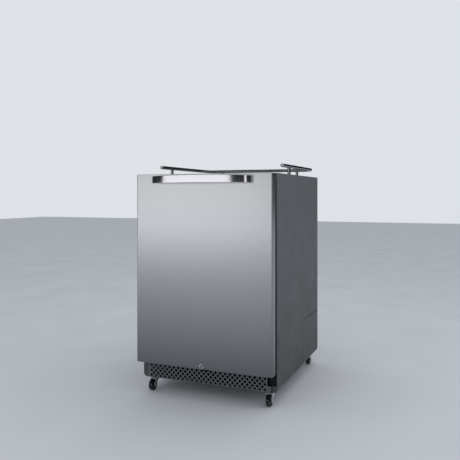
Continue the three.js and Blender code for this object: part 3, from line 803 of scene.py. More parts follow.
class KEGCOOLER_OT_lock(bpy.types.Operator):
    """The key lock: bezel, cylinder with its keyway, cam and the strike below the door"""

    bl_idname = "keg_cooler.lock"
    bl_label = "Lock"

    def execute(self, context):
        low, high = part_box("lock_barrel")
        z = (low.z + high.z) / 2
        face = DOOR_FRONT
        bezel = Form().turned(profile((
            (6.2, -1.6), (6.8, -2.2), (7.8, -2.2), (9.0, -1.6), (9.4, -0.8), (9.4, -0.3), (8.0, -0.3),
            (8.0, 30), (6.2, 30), (6.2, -1.6)), face), (0, 0, z), "y")
        finished(bezel.object("lock_bezel"), "polish", ["lock_barrel"], body="door")
        nose = profile(((0, -2.4), (4.6, -2.4), (5.4, -1.9), (6, -0.8), (6, 30), (0, 30)), face)
        plug = Form().turned(nose, (0, 0, z), "y").object("lock_plug")
        combined(plug, Form().box(
            (-1.1 * MM, face - 4 * MM, z - 4 * MM), (1.1 * MM, face + 12 * MM, z + 4 * MM)))
        combined(plug, rod(2.1 * MM, face - 4 * MM, face + 6 * MM, (0, 0, z + 1.5 * MM), "y", 20))
        finished(plug, "tube", ["lock_cylinder"], body="lock")
        cam_low, cam_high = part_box("lock_cam")
        blade = rounded(26 * MM, 10.4 * MM, 5 * MM, (7 * MM, z))
        cam = Form().prism(blade, "y", cam_low.y, cam_high.y)
        finished(bevelled(cam.object("lock_blade"), 0.5 * MM, 2), "zinc", ["lock_cam"], body="lock")
        s_low, s_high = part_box("lock_strike")
        wide = s_high.x
        section = [
            (s_low.y, 120.6), (s_low.y, 131.5), (s_low.y + 1.8 * MM, 131.5), (s_low.y + 1.8 * MM, 122.6),
            (s_high.y, 122.6), (s_high.y, 112), (s_high.y - 1.6 * MM, 112), (s_high.y - 1.6 * MM, 120.6)]
        strike = Form().prism([(y, h * MM) for y, h in section], "x", -wide, wide).object("strike_hook")
        finished(bevelled(strike, 0.4 * MM, 2), "black", ["lock_strike"])
        return {"FINISHED"}


# ---------------------------------------------------------------- cabinet
CURL = 16 * MM
CURL_LIP = 8 * MM
COVER_FRONT, COVER_HIGH = 103 * MM, 265 * MM
NOTCH_LEFT, NOTCH_LOW = 261 * MM, 84.6 * MM


def curl_arc(radius):
    """Rolled lower corner of a side, seen from the front."""
    return arc((HALF - CURL, BASE_Z + CURL), radius, 0, -1, 10)


def side_form(sign):
    """Wall with its rolled edge, and the folded front flange."""
    lip = HALF - CURL - CURL_LIP
    section = [(HALF - SHEET, TOP_Z), (HALF, TOP_Z)] + curl_arc(CURL)
    section += [(lip, BASE_Z), (lip, BASE_Z + SHEET)] + curl_arc(CURL - SHEET)[::-1]
    wall = Form().prism([(sign * x, z) for x, z in section], "y", FACE_Y + 0.4 * MM, BACK_Y)
    obj = wall.object("side")
    inset = HALF - 20 * MM
    flange = [(inset, TOP_Z), (HALF, TOP_Z)] + curl_arc(CURL) + [(inset, BASE_Z)]
    front = Form().prism([(sign * x, z) for x, z in flange], "y", FACE_Y, FACE_Y + SHEET)
    return combined(obj, front, "UNION")


class KEGCOOLER_OT_outer_shell(bpy.types.Operator):
    """Both cabinet sides, the access cover, the top panel and the cap of the tower port"""

    bl_idname = "keg_cooler.outer_shell"
    bl_label = "Outer shell"

    def execute(self, context):
        left = bevelled(side_form(-1), 0.4 * MM, 2)
        left.name = "side_shell_left"
        finished(left, "lacquer", ["outer_side_left"])
        right = side_form(1)
        right.name = "side_shell_right"
        low_x = HALF - CURL - CURL_LIP - MM
        combined(right, Form().box((low_x, COVER_FRONT, BASE_Z - MM), (HALF + MM, BACK_Y + MM, COVER_HIGH)))
        combined(right, Form().box(
            (NOTCH_LEFT, FACE_Y - MM, NOTCH_LOW), (HALF - SHEET - GAP, FACE_Y + 20 * MM, DOOR_LOW.z)))
        h_low, h_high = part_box("hinge_bracket_upper")
        combined(right, Form().box((h_low.x - MM, FACE_Y - MM, h_high.z - 3.6 * MM),
                                   (h_high.x + MM, FACE_Y + 5 * MM, h_high.z + 0.6 * MM)))
        bevelled(right, 0.4 * MM, 2)
        finished(right, "lacquer", ["outer_side_right"])
        cover = side_form(1)
        cover.name = "access_panel"
        gap = 3 * MM
        field = Form().box((low_x - MM, COVER_FRONT + gap, BASE_Z - MM),
                           (HALF + MM, BACK_Y + MM, COVER_HIGH - gap))
        combined(cover, field, "INTERSECT")
        bevelled(cover, 0.6 * MM, 2)
        finished(cover, "lacquer", ["access_cover_right"])
        # Painted shade: a thin black strip just inside the side sheet, behind the cover's seam, makes the gap
        # read dark.
        seam_shade_inner, seam_shade_outer, half = HALF - SHEET - 0.25 * MM, HALF - SHEET - 0.05 * MM, 6 * MM
        seam_shade = Form().box((seam_shade_inner, COVER_FRONT - half, BASE_Z + 16 * MM),
                          (seam_shade_outer, COVER_FRONT + half, COVER_HIGH + half)).object("cover_seam_tape")
        combined(seam_shade, Form().box((seam_shade_inner, COVER_FRONT - half, COVER_HIGH - half),
                                  (seam_shade_outer, BACK_Y - 12 * MM, COVER_HIGH + half)), "UNION")
        finished(seam_shade, "black")
        screws("access_screws", [(HALF - 0.6 * MM, COVER_FRONT + 14 * MM, COVER_HIGH - 14 * MM),
                                 (HALF - 0.6 * MM, COVER_FRONT + 14 * MM, BASE_Z + 40 * MM)],
               "+x", 3 * MM, "black")
        self.top()
        return {"FINISHED"}

    def top(self):
        """Top sheet with its round port, and the flush cap in it."""
        low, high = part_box("top_panel")
        cap_low, cap_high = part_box("tower_hole_cap")
        centre = (cap_low + cap_high) / 2
        sheet = Form().box((low.x, low.y - MM, low.z), high).object("top_sheet")
        bevelled(sheet, 0.5 * MM, 2)
        hole = cap_high.x + GAP
        combined(sheet, rod(hole, low.z - MM, high.z + MM, (0, centre.y, 0), "z"))
        finished(sheet, "lacquer", ["top_panel"])
        cap = Form().turned(profile((
            (0, -12), (30, -12), (31.5, -10), (31.5, -1.2), (41.8, -1.2), (42, -0.9), (42, -0.3), (41.6, 0),
            (36.6, 0), (36.2, -0.5), (35.2, -0.5), (34.8, 0), (12, 0), (11, -0.6), (0, -0.6)), high.z),
            (0, centre.y, 0), "z")
        finished(cap.object("tower_port_cap"), "plastic", ["tower_hole_cap"])


class KEGCOOLER_OT_rear(bpy.types.Operator):
    """The rear panel, the louvred cover of the compressor bay and the mains inlet"""

    bl_idname = "keg_cooler.rear"
    bl_label = "Rear"

    def execute(self, context):
        low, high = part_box("rear_panel")
        panel = bevelled(Form().box(low, high).object("rear_sheet"), 0.4 * MM, 2)
        finished(panel, "lacquer", ["rear_panel"])
        edge = 12 * MM
        xs = [low.x + edge, low.x / 2, 0, high.x / 2, high.x - edge]
        zs = [low.z + edge, (low.z + high.z) / 2, high.z - edge]
        spots = [(x, high.y, z) for x in xs for z in zs if z != zs[1] or abs(x) > high.x / 2 + MM]
        screws("rear_screws", spots, "+y", 2.6 * MM)
        self.grille()
        self.inlet()
        return {"FINISHED"}

    def grille(self):
        """Slotted plate with a pressed hood over each slot."""
        low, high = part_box("rear_grille")
        corner = HALF - CURL
        outline = [(-corner, low.z), (corner, low.z), (high.x, BASE_Z + CURL), (high.x, high.z),
                   (low.x, high.z), (low.x, BASE_Z + CURL)]
        plate = Form().prism(outline, "y", low.y, high.y).object("rear_louvre_plate")
        slot = Form().prism(rounded(150 * MM, 6 * MM, 3 * MM), "y", -5 * MM, 5 * MM)
        rows = [(123 + 22 * i) * MM for i in range(6)]
        places = [(x * MM, high.y, z) for x in (-175, 0, 175) for z in rows]
        perforated(plate, slot, places, "black")
        combined(plate, Form().box((180 * MM, low.y - MM, 76 * MM), (212 * MM, high.y + MM, 102 * MM)))
        finished(plate, "black", ["rear_grille"])
        rings = []
        for i in range(13):
            x = (i / 12 - 0.5) * 154 * MM
            lift = 1.9 * MM * (1 - abs(2 * i / 12 - 1) ** 6)
            rings.append([Vector((x, 0, 5 * MM)), Vector((x, lift, 3.4 * MM)),
                          Vector((x, lift + 0.4 * MM, 3.4 * MM)), Vector((x, 0.5 * MM, 6.2 * MM))])
        hoods = [((x, y - 2.4 * MM, z), (0, 0, 0)) for x, y, z in places]
        repeated("rear_louvre_hoods", Form().rings(rings), hoods, "black")
        xs, zs = (low.x + 14 * MM, 0, high.x - 14 * MM), (110 * MM, high.z - 8 * MM)
        screws("rear_grille_screws", [(x, high.y, z) for x in xs for z in zs], "+y", 2.6 * MM)

    def inlet(self):
        """Socket for the mains lead, with its three blades."""
        low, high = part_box("mains_inlet")
        body = bevelled(Form().box(low, high).object("inlet_body"), 0.8 * MM, 2)
        centre = ((low.x + high.x) / 2, (low.z + high.z) / 2)
        combined(body, Form().prism(rounded(22 * MM, 16 * MM, 3 * MM, centre), "y",
                                    high.y - 16 * MM, high.y + MM))
        finished(body, "plastic", ["mains_inlet"])
        blade = Form().box((-2 * MM, -7 * MM, -0.8 * MM), (2 * MM, 7 * MM, 0.8 * MM)).object("unit")
        blade = bevelled(blade, 0.3 * MM)
        spots = [((centre[0] + dx * MM, high.y - 9 * MM, centre[1] + dz * MM), (0, 0, 0))
                 for dx, dz in ((-6, -2.5), (6, -2.5), (0, 3))]
        repeated("inlet_blades", blade, spots, "zinc")


class KEGCOOLER_OT_kick_grille(bpy.types.Operator):
    """The perforated kick grille, both hinges, and the cap over the unused hinge holes"""

    bl_idname = "keg_cooler.kick_grille"
    bl_label = "Kick grille"

    def execute(self, context):
        low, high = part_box("kick_grille")
        dip, dip_z = 12 * MM, 124 * MM
        outline = [(low.x, low.z), (high.x, low.z), (high.x, NOTCH_LOW), (NOTCH_LEFT, NOTCH_LOW),
                   (NOTCH_LEFT, high.z), (dip, high.z), (dip, dip_z), (-dip, dip_z), (-dip, high.z),
                   (low.x, high.z)]
        plate = Form().prism(outline, "y", low.y, low.y + SHEET).object("kick_plate")
        for x0, x1, top in ((low.x, low.x + SHEET, high.z), (high.x - SHEET, high.x, NOTCH_LOW)):
            combined(plate, Form().box((x0, low.y, low.z), (x1, high.y, top)), "UNION")
        combined(plate, Form().box((low.x, low.y, low.z), (high.x, low.y + 3 * MM, low.z + SHEET)), "UNION")
        bevelled(plate, 0.5 * MM, 2)
        look = looks()
        punch = rod(look.hole_radius, -4 * MM, 4 * MM, (0, 0, 0), "y", 24)
        rows, columns, first_x, first_z = 5, 25, -256 * MM, 69.3 * MM
        places = []
        for row in range(rows):
            shift = row % 2
            for column in range(columns - shift):
                x = first_x + (column + shift / 2) * look.hole_pitch
                places.append((x, low.y, first_z + row * look.row_pitch))
        perforated(plate, punch, places, "kick")
        finished(plate, "kick", ["kick_grille"])
        cap_low, cap_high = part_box("hinge_hole_cap_left")
        centre = (cap_low + cap_high) / 2
        base = cap_high.y
        cap = Form().turned(profile((
            (0, 0), (8.5, 0), (8.5, 1.2), (8.1, 2.6), (7, 4), (5, 5.1), (2.5, 5.6), (0, 5.6)), base, -1),
            (centre.x, 0, centre.z), "y")
        finished(cap.object("hinge_hole_plug"), "kick", ["hinge_hole_cap_left"])
        self.hinges()
        return {"FINISHED"}

    def hinges(self):
        """Arm and pin of each hinge, and the back plate of the lower one."""
        for level in ("lower", "upper"):
            low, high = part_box("hinge_bracket_" + level)
            pin_y = low.y + HINGE_RADIUS
            arm_x = 283 * MM
            lower = level == "lower"
            arm_high = DOOR_LOW.z - MM if lower else high.z
            arm_low = arm_high - 3 * MM
            bow = arc((arm_x, pin_y), HINGE_RADIUS, 2, 4, 12)
            arm = [(arm_x - HINGE_RADIUS, high.y), *bow, (arm_x + HINGE_RADIUS, high.y)]
            obj = Form().prism(arm, "z", arm_low, arm_high).object("hinge_" + level)
            if lower:
                plate = Form().box((low.x, high.y - 3 * MM, low.z), (high.x, high.y, arm_high))
                combined(obj, plate, "UNION")
            bevelled(obj, 0.6 * MM, 2)
            reach = (arm_high - MM, high.z) if lower else (low.z, arm_low + MM)
            pin = Form().turned([(0, reach[0]), (3.5 * MM, reach[0]), (4 * MM, reach[0] + 0.5 * MM),
                                 (4 * MM, reach[1] - 0.5 * MM), (3.5 * MM, reach[1]), (0, reach[1])],
                                (arm_x, pin_y, 0), "z", 32)
            combined(obj, pin, "UNION")
            finished(obj, "black", ["hinge_bracket_" + level])
        back = FACE_Y + 3 * MM
        screws("hinge_screws", [(x * MM, back, z * MM) for x in (271, 289) for z in (98, 120)],
               "-y", 4 * MM, "black")
        repaint("grey_plastic", "hinge_bush_lower", "hinge_bush_upper")


class KEGCOOLER_OT_guard_rail(bpy.types.Operator):
    """The bent tube round the top, its domed end caps and its four posts"""

    bl_idname = "keg_cooler.guard_rail"
    bl_label = "Guard rail"

    def execute(self, context):
        low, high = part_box("guard_rail")
        radius = looks().rail_radius
        z = (low.z + high.z) / 2
        arm = 281 * MM
        back = 329 * MM
        bend = 45 * MM
        front = low.y
        plan = [(arm, front)] + arc((arm - bend, back - bend), bend, 0, 1, 24)
        path = [(x, y, z) for x, y in plan] + [(-x, y, z) for x, y in reversed(plan)]
        swept("rail_tube", path, radius, "tube", ["guard_rail"], sides=40)
        for side, sign in (("left", -1), ("right", 1)):
            dome = profile(((0, 0.3), (7.5, 0.3), (7.5, 1.2), (7.2, 2.2), (6.3, 3.5), (4.6, 4.7), (2.4, 5.3),
                            (0, 5.5)), front, -1)
            cap = Form().turned(dome, (sign * arm, 0, z), "y", 32)
            finished(cap.object("rail_end_" + side), "grey_plastic", ["rail_cap_" + side])
        for name in CORNERS:
            self.post(name, z, radius)
        return {"FINISHED"}

    def post(self, name, z, radius):
        """A turned post with a foot flange, hollowed to fit the tube above it."""
        low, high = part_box("rail_post_" + name)
        centre = (low + high) / 2
        outline = [(0, 0), (10.5, 0), (10.5, 1.2), (9.6, 2.2), (6.7, 2.6), (6.5, 3.2), (6.5, 33), (0, 33)]
        post = Form().turned(profile(outline, TOP_Z + 0.1 * MM), (centre.x, centre.y, 0), "z")
        obj = post.object("rail_stanchion_" + name)
        axis = "y" if name.startswith("front") else "x"
        along = centre.y if axis == "y" else centre.x
        spot = (centre.x, 0, z) if axis == "y" else (0, centre.y, z)
        combined(obj, rod(radius, along - 20 * MM, along + 20 * MM, spot, axis))
        finished(obj, "tube", ["rail_post_" + name])


class KEGCOOLER_OT_casters(bpy.types.Operator):
    """Four swivel casters: plate with ball race, pressed fork with axle, and wheel"""

    bl_idname = "keg_cooler.casters"
    bl_label = "Casters"

    def execute(self, context):
        for name in CORNERS:
            low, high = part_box("caster_plate_" + name)
            pivot = (low + high) / 2
            place = Matrix.Translation((pivot.x, pivot.y, 0))
            if name.startswith("back"):
                place = place @ Matrix.Rotation(math.pi, 4, "Z")
            self.plate(name, place, high.z)
            self.fork(name, place)
            self.wheel(name, place)
        return {"FINISHED"}

    def plate(self, name, place, top):
        form = Form().prism(rounded(46 * MM, 46 * MM, 5 * MM), "z", top - 3 * MM, top)
        obj = bevelled(form.object("caster_mount_" + name), 0.5 * MM, 2)
        race = Form().turned(profile((
            (0, 50.4), (12, 50.4), (14, 50.8), (15, 52), (15, 53.2), (13.8, 54.6), (12.5, 56), (0, 56))),
            (0, 0, 0), "z")
        combined(obj, race, "UNION")
        pin = Form().turned(profile((
            (0, 45.2), (4.5, 45.2), (6.2, 45.8), (6.5, 46.6), (6.5, 47.2), (4, 47.2), (4, 51), (0, 51))),
            (0, 0, 0), "z", 32)
        combined(obj, pin, "UNION")
        obj.data.transform(place)
        finished(obj, "zinc", ["caster_plate_" + name])

    def fork(self, name, place):
        """Crown dished over the wheel with two tapering legs and a riveted axle."""
        crown = Form().turned(profile((
            (4.2, 47.5), (12.5, 47.5), (14.5, 46.6), (15, 47.6), (14.2, 49.6), (13, 50), (4.2, 50),
            (4.2, 47.5))), (0, 0, 0), "z")
        obj = crown.object("caster_yoke_" + name)
        top, boss, half_top, lean = 49.8 * MM, 8 * MM, 15.5 * MM, -5 * MM
        for sign in (-1, 1):
            rings = []
            steps = 16
            for i in range(steps + 1):
                t = i / steps
                # A leg starts as part of the crown's rim and narrows to the axle boss.
                z = top + (AXLE_Z - boss - top) * t
                blend = min(1, t * 1.6)
                middle = lean + (AXLE_Y - lean) * (blend * blend * (3 - 2 * blend))
                wide = half_top + (boss - half_top) * min(1, t * 1.4)
                if z < AXLE_Z:
                    wide = max(0.5 * MM, math.sqrt(max(0, boss ** 2 - (AXLE_Z - z) ** 2)))
                    middle = AXLE_Y
                flare = 1.2 * MM * (1 - min(1, t * 4)) ** 2
                inner, outer = sign * (11.2 * MM - flare), sign * (13.2 * MM - flare)
                rings.append([Vector((x, middle + side * wide, z)) for x, side in (
                    (inner, -1), (inner, 1), (outer, 1), (outer, -1))])
            leg = bevelled(Form().rings(rings).object("leg"), 0.5 * MM, 2)
            combined(obj, leg, "UNION")
        roof = Form().prism(rounded(25.4 * MM, 30 * MM, 6 * MM, (0, -9 * MM)), "z", 47.6 * MM, 49.9 * MM)
        combined(obj, bevelled(roof.object("roof"), 0.8 * MM, 3), "UNION")
        combined(obj, rod(4.2 * MM, 40 * MM, 55 * MM, (0, 0, 0), "z", 32))
        rivet = [(0, -14.8), (3, -14.8), (4.3, -14.2), (4.6, -13.2), (3, -13.2)]
        rivet += [(radius, -along) for radius, along in reversed(rivet)]
        combined(obj, Form().turned(profile(rivet), (0, AXLE_Y, AXLE_Z), "x", 32), "UNION")
        obj.data.transform(place)
        finished(obj, "zinc", ["caster_fork_" + name], body="swivel_" + name)

    def wheel(self, name, place):
        """Hub, web and tread with rounded shoulders and a centre groove."""
        tread = [
            (3.2, -9.6), (6.6, -9.6), (7, -9.2), (7.2, -6.8), (8.4, -6.2), (16, -6.2), (17.2, -7.6),
            (18.2, -8.8), (19.6, -9), (21.2, -8.4), (22.4, -7.2), (22.95, -5.4), (22.95, -1), (22.4, -0.6)]
        tread += [(radius, -along) for radius, along in reversed(tread)]
        form = Form().turned(profile([*tread, tread[0]]), (0, AXLE_Y, AXLE_Z), "x", 64)
        obj = form.object("caster_roller_" + name)
        obj.data.transform(place)
        finished(obj, "rubber", ["caster_wheel_" + name], body="wheel_" + name)


# ---------------------------------------------------------------- inside
class KEGCOOLER_OT_compartment(bpy.types.Operator):
    """The vacuum-formed liner with its step, the face frame and the keg floor plate"""

    bl_idname = "keg_cooler.compartment"
    bl_label = "Keg compartment"

    def execute(self, context):
        wall = 1.5 * MM
        low_z, high_z = LINER_LOW.z + wall, LINER_HIGH.z - wall
        back = LINER_HIGH.y - wall
        step_y, step_z = 159 * MM, 300 * MM
        half = LINER_HIGH.x - wall
        outline = [(LINER_LOW.y - 30 * MM, low_z), (step_y, low_z), (step_y, step_z), (back, step_z),
                   (back, high_z), (LINER_LOW.y - 30 * MM, high_z)]
        cavity = bevelled(Form().prism(outline, "x", -half, half).object("cavity"), 4.5 * MM, 4)
        shell = Form().prism([
            (LINER_LOW.y, LINER_LOW.z), (step_y + wall, LINER_LOW.z), (step_y + wall, step_z - wall),
            (LINER_HIGH.y, step_z - wall), (LINER_HIGH.y, LINER_HIGH.z), (LINER_LOW.y, LINER_HIGH.z)],
            "x", -LINER_HIGH.x, LINER_HIGH.x).object("keg_liner")
        combined(shell, cavity)
        finished(shell, "liner", ["inner_liner"])
        low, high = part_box("keg_floor_plate")
        middle = (low.y + high.y) / 2
        outline = rounded(high.x - low.x, high.y - low.y, 14 * MM, ((low.x + high.x) / 2, middle))
        plate = Form().prism(outline, "z", low.z, high.z - 0.5 * MM)
        obj = bevelled(plate.object("keg_plate"), 0.5 * MM, 2)
        section = ((-4, -0.8), (-2, -0.1), (0, 0), (2, -0.1), (4, -0.8), (0, -1), (-4, -0.8))
        for radius in (150, 185):
            bead = profile([(radius + across, height) for across, height in section], high.z)
            combined(obj, Form().turned(bead, (0, middle, 0), "z", 72), "UNION")
        finished(obj, "stainless", ["keg_floor_plate"])
        repaint("black", "face_frame")
        repaint("foam", "insulation_foam")
        return {"FINISHED"}


def fan_form(radius, hub, depth):
    """A fan with twisted, rounded blades on a domed hub, turning about Y."""
    form = Form().turned([(0, -depth / 2), (0.7 * hub, -depth / 2), (hub, -0.3 * depth), (hub, depth / 2),
                          (0, depth / 2)], (0, 0, 0), "y", 40)
    blades = 5
    for k in range(blades):
        rings = []
        for i in range(9):
            t = i / 8
            r = 0.9 * hub + (radius - 0.9 * hub) * t
            half = (0.2 + 0.14 * math.sin(math.pi * min(1, 0.3 + t * 0.6))) * radius * (1 - 0.55 * t ** 6)
            pitch = 0.75 - 0.35 * t
            ring = []
            for side, skin in ((-1, -1), (1, -1), (1, 1), (-1, 1)):
                x = side * half * math.cos(pitch)
                y = side * half * math.sin(pitch) + skin * 0.7 * MM
                ring.append(Vector((x, max(-depth / 2, min(depth / 2, y)), r)))
            rings.append(ring)
        blade = Form().rings(rings).moved(Matrix.Rotation(2 * math.pi * k / blades, 4, "Y"))
        form.add(blade.verts, blade.faces)
    return form


def fan_guard(name, centre, radius, y):
    """Concentric wire rings of a fan guard with their spokes."""
    rings, spokes, wire = 4, 4, 0.9 * MM
    for i in range(1, rings + 1):
        ring = arc(centre, radius * i / rings, 0, 4, 48)[:-1]
        swept(f"{name}_ring_{i}", [(x, y, z) for x, z in ring], wire, "zinc", sides=10, closed=True)
    spoke = rod(wire, 0, radius, (0, 0, 0), "z", 10)
    places = [((centre[0], y, centre[1]), (0, (k + 0.5) * math.pi / 2, 0)) for k in range(spokes)]
    repeated(name + "_spokes", spoke, places, "zinc")


def to_and_fro(ends, y, first, pitch, rows):
    """Path of a pipe that runs from side to side, one level above the other."""
    path = []
    for row in range(rows):
        path += [(x, y, first + row * pitch) for x in (ends if row % 2 == 0 else ends[::-1])]
    return path


def fan(name, node, centre, radius, hub):
    """A fan in place of its node, turning on the body of the same name."""
    low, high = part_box(node)
    form = fan_form(radius, hub, high.y - low.y)
    form.moved(Matrix.Translation((centre[0], (low.y + high.y) / 2, centre[1])))
    finished(form.object(name), "grey_plastic", [node], body=node)


class KEGCOOLER_OT_cold_side(bpy.types.Operator):
    """The cold plate with its raised channels, the circulation fan and the thermostat"""

    bl_idname = "keg_cooler.cold_side"
    bl_label = "Cold side"

    def execute(self, context):
        low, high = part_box("evaporator_plate")
        outline = rounded(high.x - low.x, high.z - low.z, 12 * MM, (0, (low.z + high.z) / 2))
        plate = Form().prism(outline, "y", low.y + 4 * MM, high.y)
        obj = bevelled(plate.object("cold_plate"), 0.8 * MM, 2)
        finished(obj, "aluminium", ["evaporator_plate"])
        rows, side, edge = 8, 30 * MM, 25 * MM
        pitch = (high.z - low.z - 2 * edge) / (rows - 1)
        path = to_and_fro((low.x + side, high.x - side), low.y + 4 * MM, low.z + edge, pitch, rows)
        swept("cold_plate_channel", path, 4 * MM, "aluminium", sides=16)
        self.circulation_fan()
        self.thermostat()
        return {"FINISHED"}

    def circulation_fan(self):
        low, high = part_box("evaporator_fan_housing")
        mid_z = (low.z + high.z) / 2
        side = high.x - low.x
        housing = Form().prism(rounded(side, side, 14 * MM, (0, mid_z)), "y", low.y, high.y)
        obj = bevelled(housing.object("fan_shroud"), 2 * MM, 3)
        tunnel = rod(54 * MM, low.y - MM, high.y - 5 * MM, (0, 0, mid_z), "y")
        combined(obj, tunnel)
        motor = Form().turned(profile((
            (0, -14), (10, -14), (12, -12), (12, -4), (0, -4)), high.y), (0, 0, mid_z), "y")
        combined(obj, motor, "UNION")
        finished(obj, "plastic", ["evaporator_fan_housing"])
        fan_guard("circulation_guard", (0, mid_z), 53 * MM, low.y + 1.5 * MM)
        fan("circulation_fan", "evaporator_fan", (0, mid_z), 49 * MM, 15 * MM)

    def thermostat(self):
        low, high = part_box("thermostat_box")
        box = bevelled(Form().box(low, high).object("thermostat_case"), 3 * MM, 4)
        finished(box, "liner", ["thermostat_box"])
        k_low, k_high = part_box("thermostat_knob")
        centre = (k_low + k_high) / 2
        steps = 72
        rings = []
        for reach, radius, ripple in (
                (0, 12, 0), (3, 12, 0), (4, 10.6, 0), (4.6, 10, 0.35), (12.6, 9.6, 0.35), (13.7, 8.8, 0.1),
                (14, 7.4, 0)):
            ring = []
            for i in range(steps):
                a = 2 * math.pi * i / steps
                r = (radius + ripple * math.cos(18 * a)) * MM
                ring.append(Vector((
                    centre.x + r * math.cos(a), k_high.y - reach * MM, centre.z + r * math.sin(a))))
            rings.append(ring)
        knob = Form().rings(rings).object("temperature_knob")
        finished(knob, "plastic", ["thermostat_knob"], body="thermostat", angle=50)
        pointer = Form().box((centre.x - 0.7 * MM, k_low.y - 0.25 * MM, centre.z + 1.5 * MM),
                             (centre.x + 0.7 * MM, k_low.y + 0.4 * MM, centre.z + 7 * MM))
        finished(bevelled(pointer.object("knob_pointer"), 0.2 * MM, 2), "liner", body="thermostat")
        places = []
        for i in range(11):
            a = math.radians(225 - 27 * i)
            places.append(((centre.x + 15.5 * MM * math.cos(a), low.y, centre.z + 15.5 * MM * math.sin(a)),
                           (0, math.pi / 2 - a, 0)))
        tick = Form().box((-0.4 * MM, -0.25 * MM, -1.5 * MM), (0.4 * MM, 0.2 * MM, 1.5 * MM))
        repeated("thermostat_scale", tick, places, "plastic")


class KEGCOOLER_OT_warm_side(bpy.types.Operator):
    """Compressor, condenser, cooling fan and the pressed pan that carries them"""

    bl_idname = "keg_cooler.warm_side"
    bl_label = "Warm side"

    def execute(self, context):
        self.compressor()
        self.condenser()
        self.cooling_fan()
        repaint("zinc", "machine_bay_liner")
        # Painted shade: the base pan takes the black coating so that, seen through the kick grille's holes,
        # it reads as the dark behind them.
        repaint("black", "base_pan")
        return {"FINISHED"}

    def compressor(self):
        low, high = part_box("compressor")
        x, y = (low.x + high.x) / 2, (low.y + high.y) / 2
        base = low.z
        dome = Form().turned(profile((
            (0, 8), (58, 8), (63, 12), (66, 22), (69, 30), (70, 36), (70, 84), (72.6, 85.5), (73, 88),
            (73, 91), (72.4, 92.6), (69.4, 94), (69, 98), (67, 112), (62, 126), (54, 137), (42, 145),
            (24, 149), (0, 150)), base), (x, y, 0), "z", 72)
        obj = dome.object("compressor_shell")
        foot = Form().prism(rounded(high.x - low.x, 110 * MM, 14 * MM, (x, y)), "z", base, base + 9 * MM)
        combined(obj, bevelled(foot.object("foot"), 1.5 * MM, 2), "UNION")
        case = Form().box((x + 40 * MM, y - 22 * MM, base + 50 * MM),
                          (x + 82 * MM, y + 22 * MM, base + 100 * MM))
        combined(obj, bevelled(case.object("case"), 2 * MM, 2), "UNION")
        finished(obj, "black", ["compressor"])

    def condenser(self):
        low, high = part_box("condenser")
        deep, tall = high.y - low.y, high.z - low.z
        fin = Form().box((-0.3 * MM, 0, 0), (0.3 * MM, deep, tall))
        places = [((low.x + 4 * MM + i * 6 * MM, low.y, low.z), (0, 0, 0)) for i in range(25)]
        repeated("condenser_fins", fin, places, "black", ["condenser"])
        ends = (low.x, high.x - 2 * MM)
        path = to_and_fro(ends, (low.y + high.y) / 2, low.z + 15 * MM, 22 * MM, 6)
        swept("condenser_tube", path, 3.2 * MM, "black", sides=12)

    def cooling_fan(self):
        low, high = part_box("condenser_fan_shroud")
        x, z = (low.x + high.x) / 2, (low.z + high.z) / 2
        side = high.x - low.x
        shroud = Form().prism(rounded(side, side, 10 * MM, (x, z)), "y", low.y, low.y + 24 * MM)
        obj = bevelled(shroud.object("cooling_fan_frame"), 1.5 * MM, 2)
        tunnel = profile(((0, -1), (60, -1), (60, 19), (57, 25), (0, 25)), low.y)
        combined(obj, Form().turned(tunnel, (x, 0, z), "y"))
        arm = Form().box((x - 62 * MM, low.y + 20 * MM, z - 4 * MM),
                         (x + 62 * MM, low.y + 24 * MM, z + 4 * MM))
        combined(obj, arm, "UNION")
        motor = Form().turned([(0, low.y + 20 * MM), (17 * MM, low.y + 20 * MM), (17 * MM, high.y - 3 * MM),
                               (14 * MM, high.y), (0, high.y)], (x, 0, z), "y")
        combined(obj, motor, "UNION")
        finished(obj, "black", ["condenser_fan_shroud"])
        fan("cooling_fan", "condenser_fan", (x, z), 55 * MM, 16 * MM)


# ---------------------------------------------------------------- stage
CAMERA_PLACE = (0.972, -2.194, 0.824)
CAMERA_YAW = math.radians(19.9)
CAMERA_LENS = 41.7
CAMERA_SHIFT = (-0.087, -0.076)


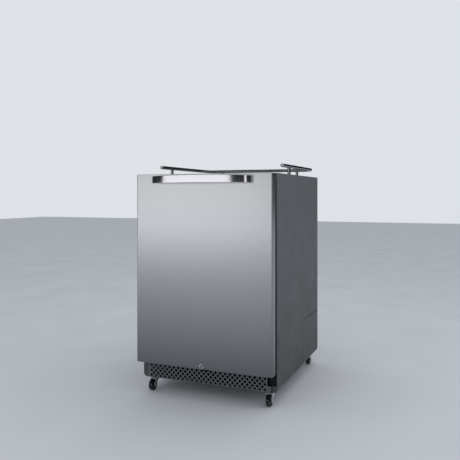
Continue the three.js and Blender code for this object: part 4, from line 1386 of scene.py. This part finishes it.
class KEGCOOLER_OT_stage(bpy.types.Operator):
    """Pale floor, soft studio lights and the camera"""

    bl_idname = "keg_cooler.stage"
    bl_label = "Stage"

    def execute(self, context):
        self.floor()
        self.world()
        self.softbox("key_softbox", (-1.39, -2.92, 0.85), (0, -0.3, 0.72), (2.25, 1.1), 9.4)
        self.softbox("strip_light", (1.72, -3.38, 1.0), (0.2, -0.34, 0.85), (0.75, 1.2), 3.2)
        self.softbox("top_softbox", (0.3, 0.4, 3.2), (0.1, 0.1, 0.5), (2.4, 2.4), 10)
        self.softbox("side_softbox", (2.0, 0.15, 2.1), (0.3, 0.05, 0.85), (1.0, 1.0), 5)
        self.camera()
        context.scene.view_settings.view_transform = "Standard"
        return {"FINISHED"}

    def floor(self):
        reach = 14
        corners = [(-reach, -reach, 0), (reach, -reach, 0), (reach, reach, 0), (-reach, reach, 0)]
        floor = mesh_object("studio_floor", corners, faces=[(0, 1, 2, 3)])
        material, tree, shader, coords = start_material("painted_floor", looks().floor, 0.6)
        vary(tree, shader, "Roughness", pattern(tree, coords, 0.3), 0.55, 0.7)
        floor.data.materials.append(material)

    def world(self):
        """Pale studio cove behind the object, dim to what the metal mirrors."""
        world = bpy.data.worlds.new("studio")
        world.use_nodes = True
        tree = world.node_tree
        tree.nodes.clear()
        path = add(tree, "ShaderNodeLightPath")
        cove = add(tree, "ShaderNodeBackground", {"Color": linear("#e9edf2"), "Strength": 0.9})
        mirrored = add(tree, "ShaderNodeBackground", {"Color": linear("#b9bec6"), "Strength": 0.05})
        mix = add(tree, "ShaderNodeMixShader", {0: path.outputs["Is Glossy Ray"]})
        tree.links.new(cove.outputs[0], mix.inputs[1])
        tree.links.new(mirrored.outputs[0], mix.inputs[2])
        add(tree, "ShaderNodeOutputWorld", {"Surface": mix.outputs[0]})
        bpy.context.scene.world = world

    def softbox(self, name, place, target, size, power):
        light = bpy.data.lights.new(name, "AREA")
        light.shape = "RECTANGLE"
        light.size, light.size_y = size
        light.energy = power
        obj = linked(name, light)
        obj.location = place
        obj.rotation_euler = (Vector(target) - Vector(place)).to_track_quat("-Z", "Y").to_euler()
        obj.visible_camera = False

    def camera(self):
        data = bpy.data.cameras.new("camera")
        data.lens = CAMERA_LENS
        data.shift_x, data.shift_y = CAMERA_SHIFT
        obj = linked("camera", data)
        obj.location = CAMERA_PLACE
        obj.rotation_euler = (math.pi / 2, 0, CAMERA_YAW)
        bpy.context.scene.camera = obj


OPERATORS = (
    KEGCOOLER_OT_stage, KEGCOOLER_OT_door_skin, KEGCOOLER_OT_door_inside, KEGCOOLER_OT_pull_handle,
    KEGCOOLER_OT_lock, KEGCOOLER_OT_outer_shell, KEGCOOLER_OT_rear, KEGCOOLER_OT_kick_grille,
    KEGCOOLER_OT_guard_rail, KEGCOOLER_OT_casters, KEGCOOLER_OT_compartment, KEGCOOLER_OT_cold_side,
    KEGCOOLER_OT_warm_side,
)


class KEGCOOLER_PT_panel(bpy.types.Panel):
    """Lists the pieces of the refrigerator"""

    bl_idname = "KEGCOOLER_PT_panel"
    bl_label = "Keg refrigerator"
    bl_space_type = "VIEW_3D"
    bl_region_type = "UI"
    bl_category = "Keg cooler"

    def draw(self, context):
        for operator in OPERATORS:
            self.layout.operator(operator.bl_idname)
        for key in KegCoolerLooks.__annotations__:
            self.layout.prop(context.scene.keg_cooler_looks, key)


CLASSES = (KegCoolerLooks, *OPERATORS, KEGCOOLER_PT_panel)


def register():
    for cls in CLASSES:
        bpy.utils.register_class(cls)
    bpy.types.Scene.keg_cooler_looks = PointerProperty(type=KegCoolerLooks)


def unregister():
    del bpy.types.Scene.keg_cooler_looks
    for cls in reversed(CLASSES):
        bpy.utils.unregister_class(cls)


def main():
    register()
    for operator in OPERATORS:
        group, name = operator.bl_idname.split(".")
        getattr(getattr(bpy.ops, group), name)()


if __name__ == "__main__":
    main()
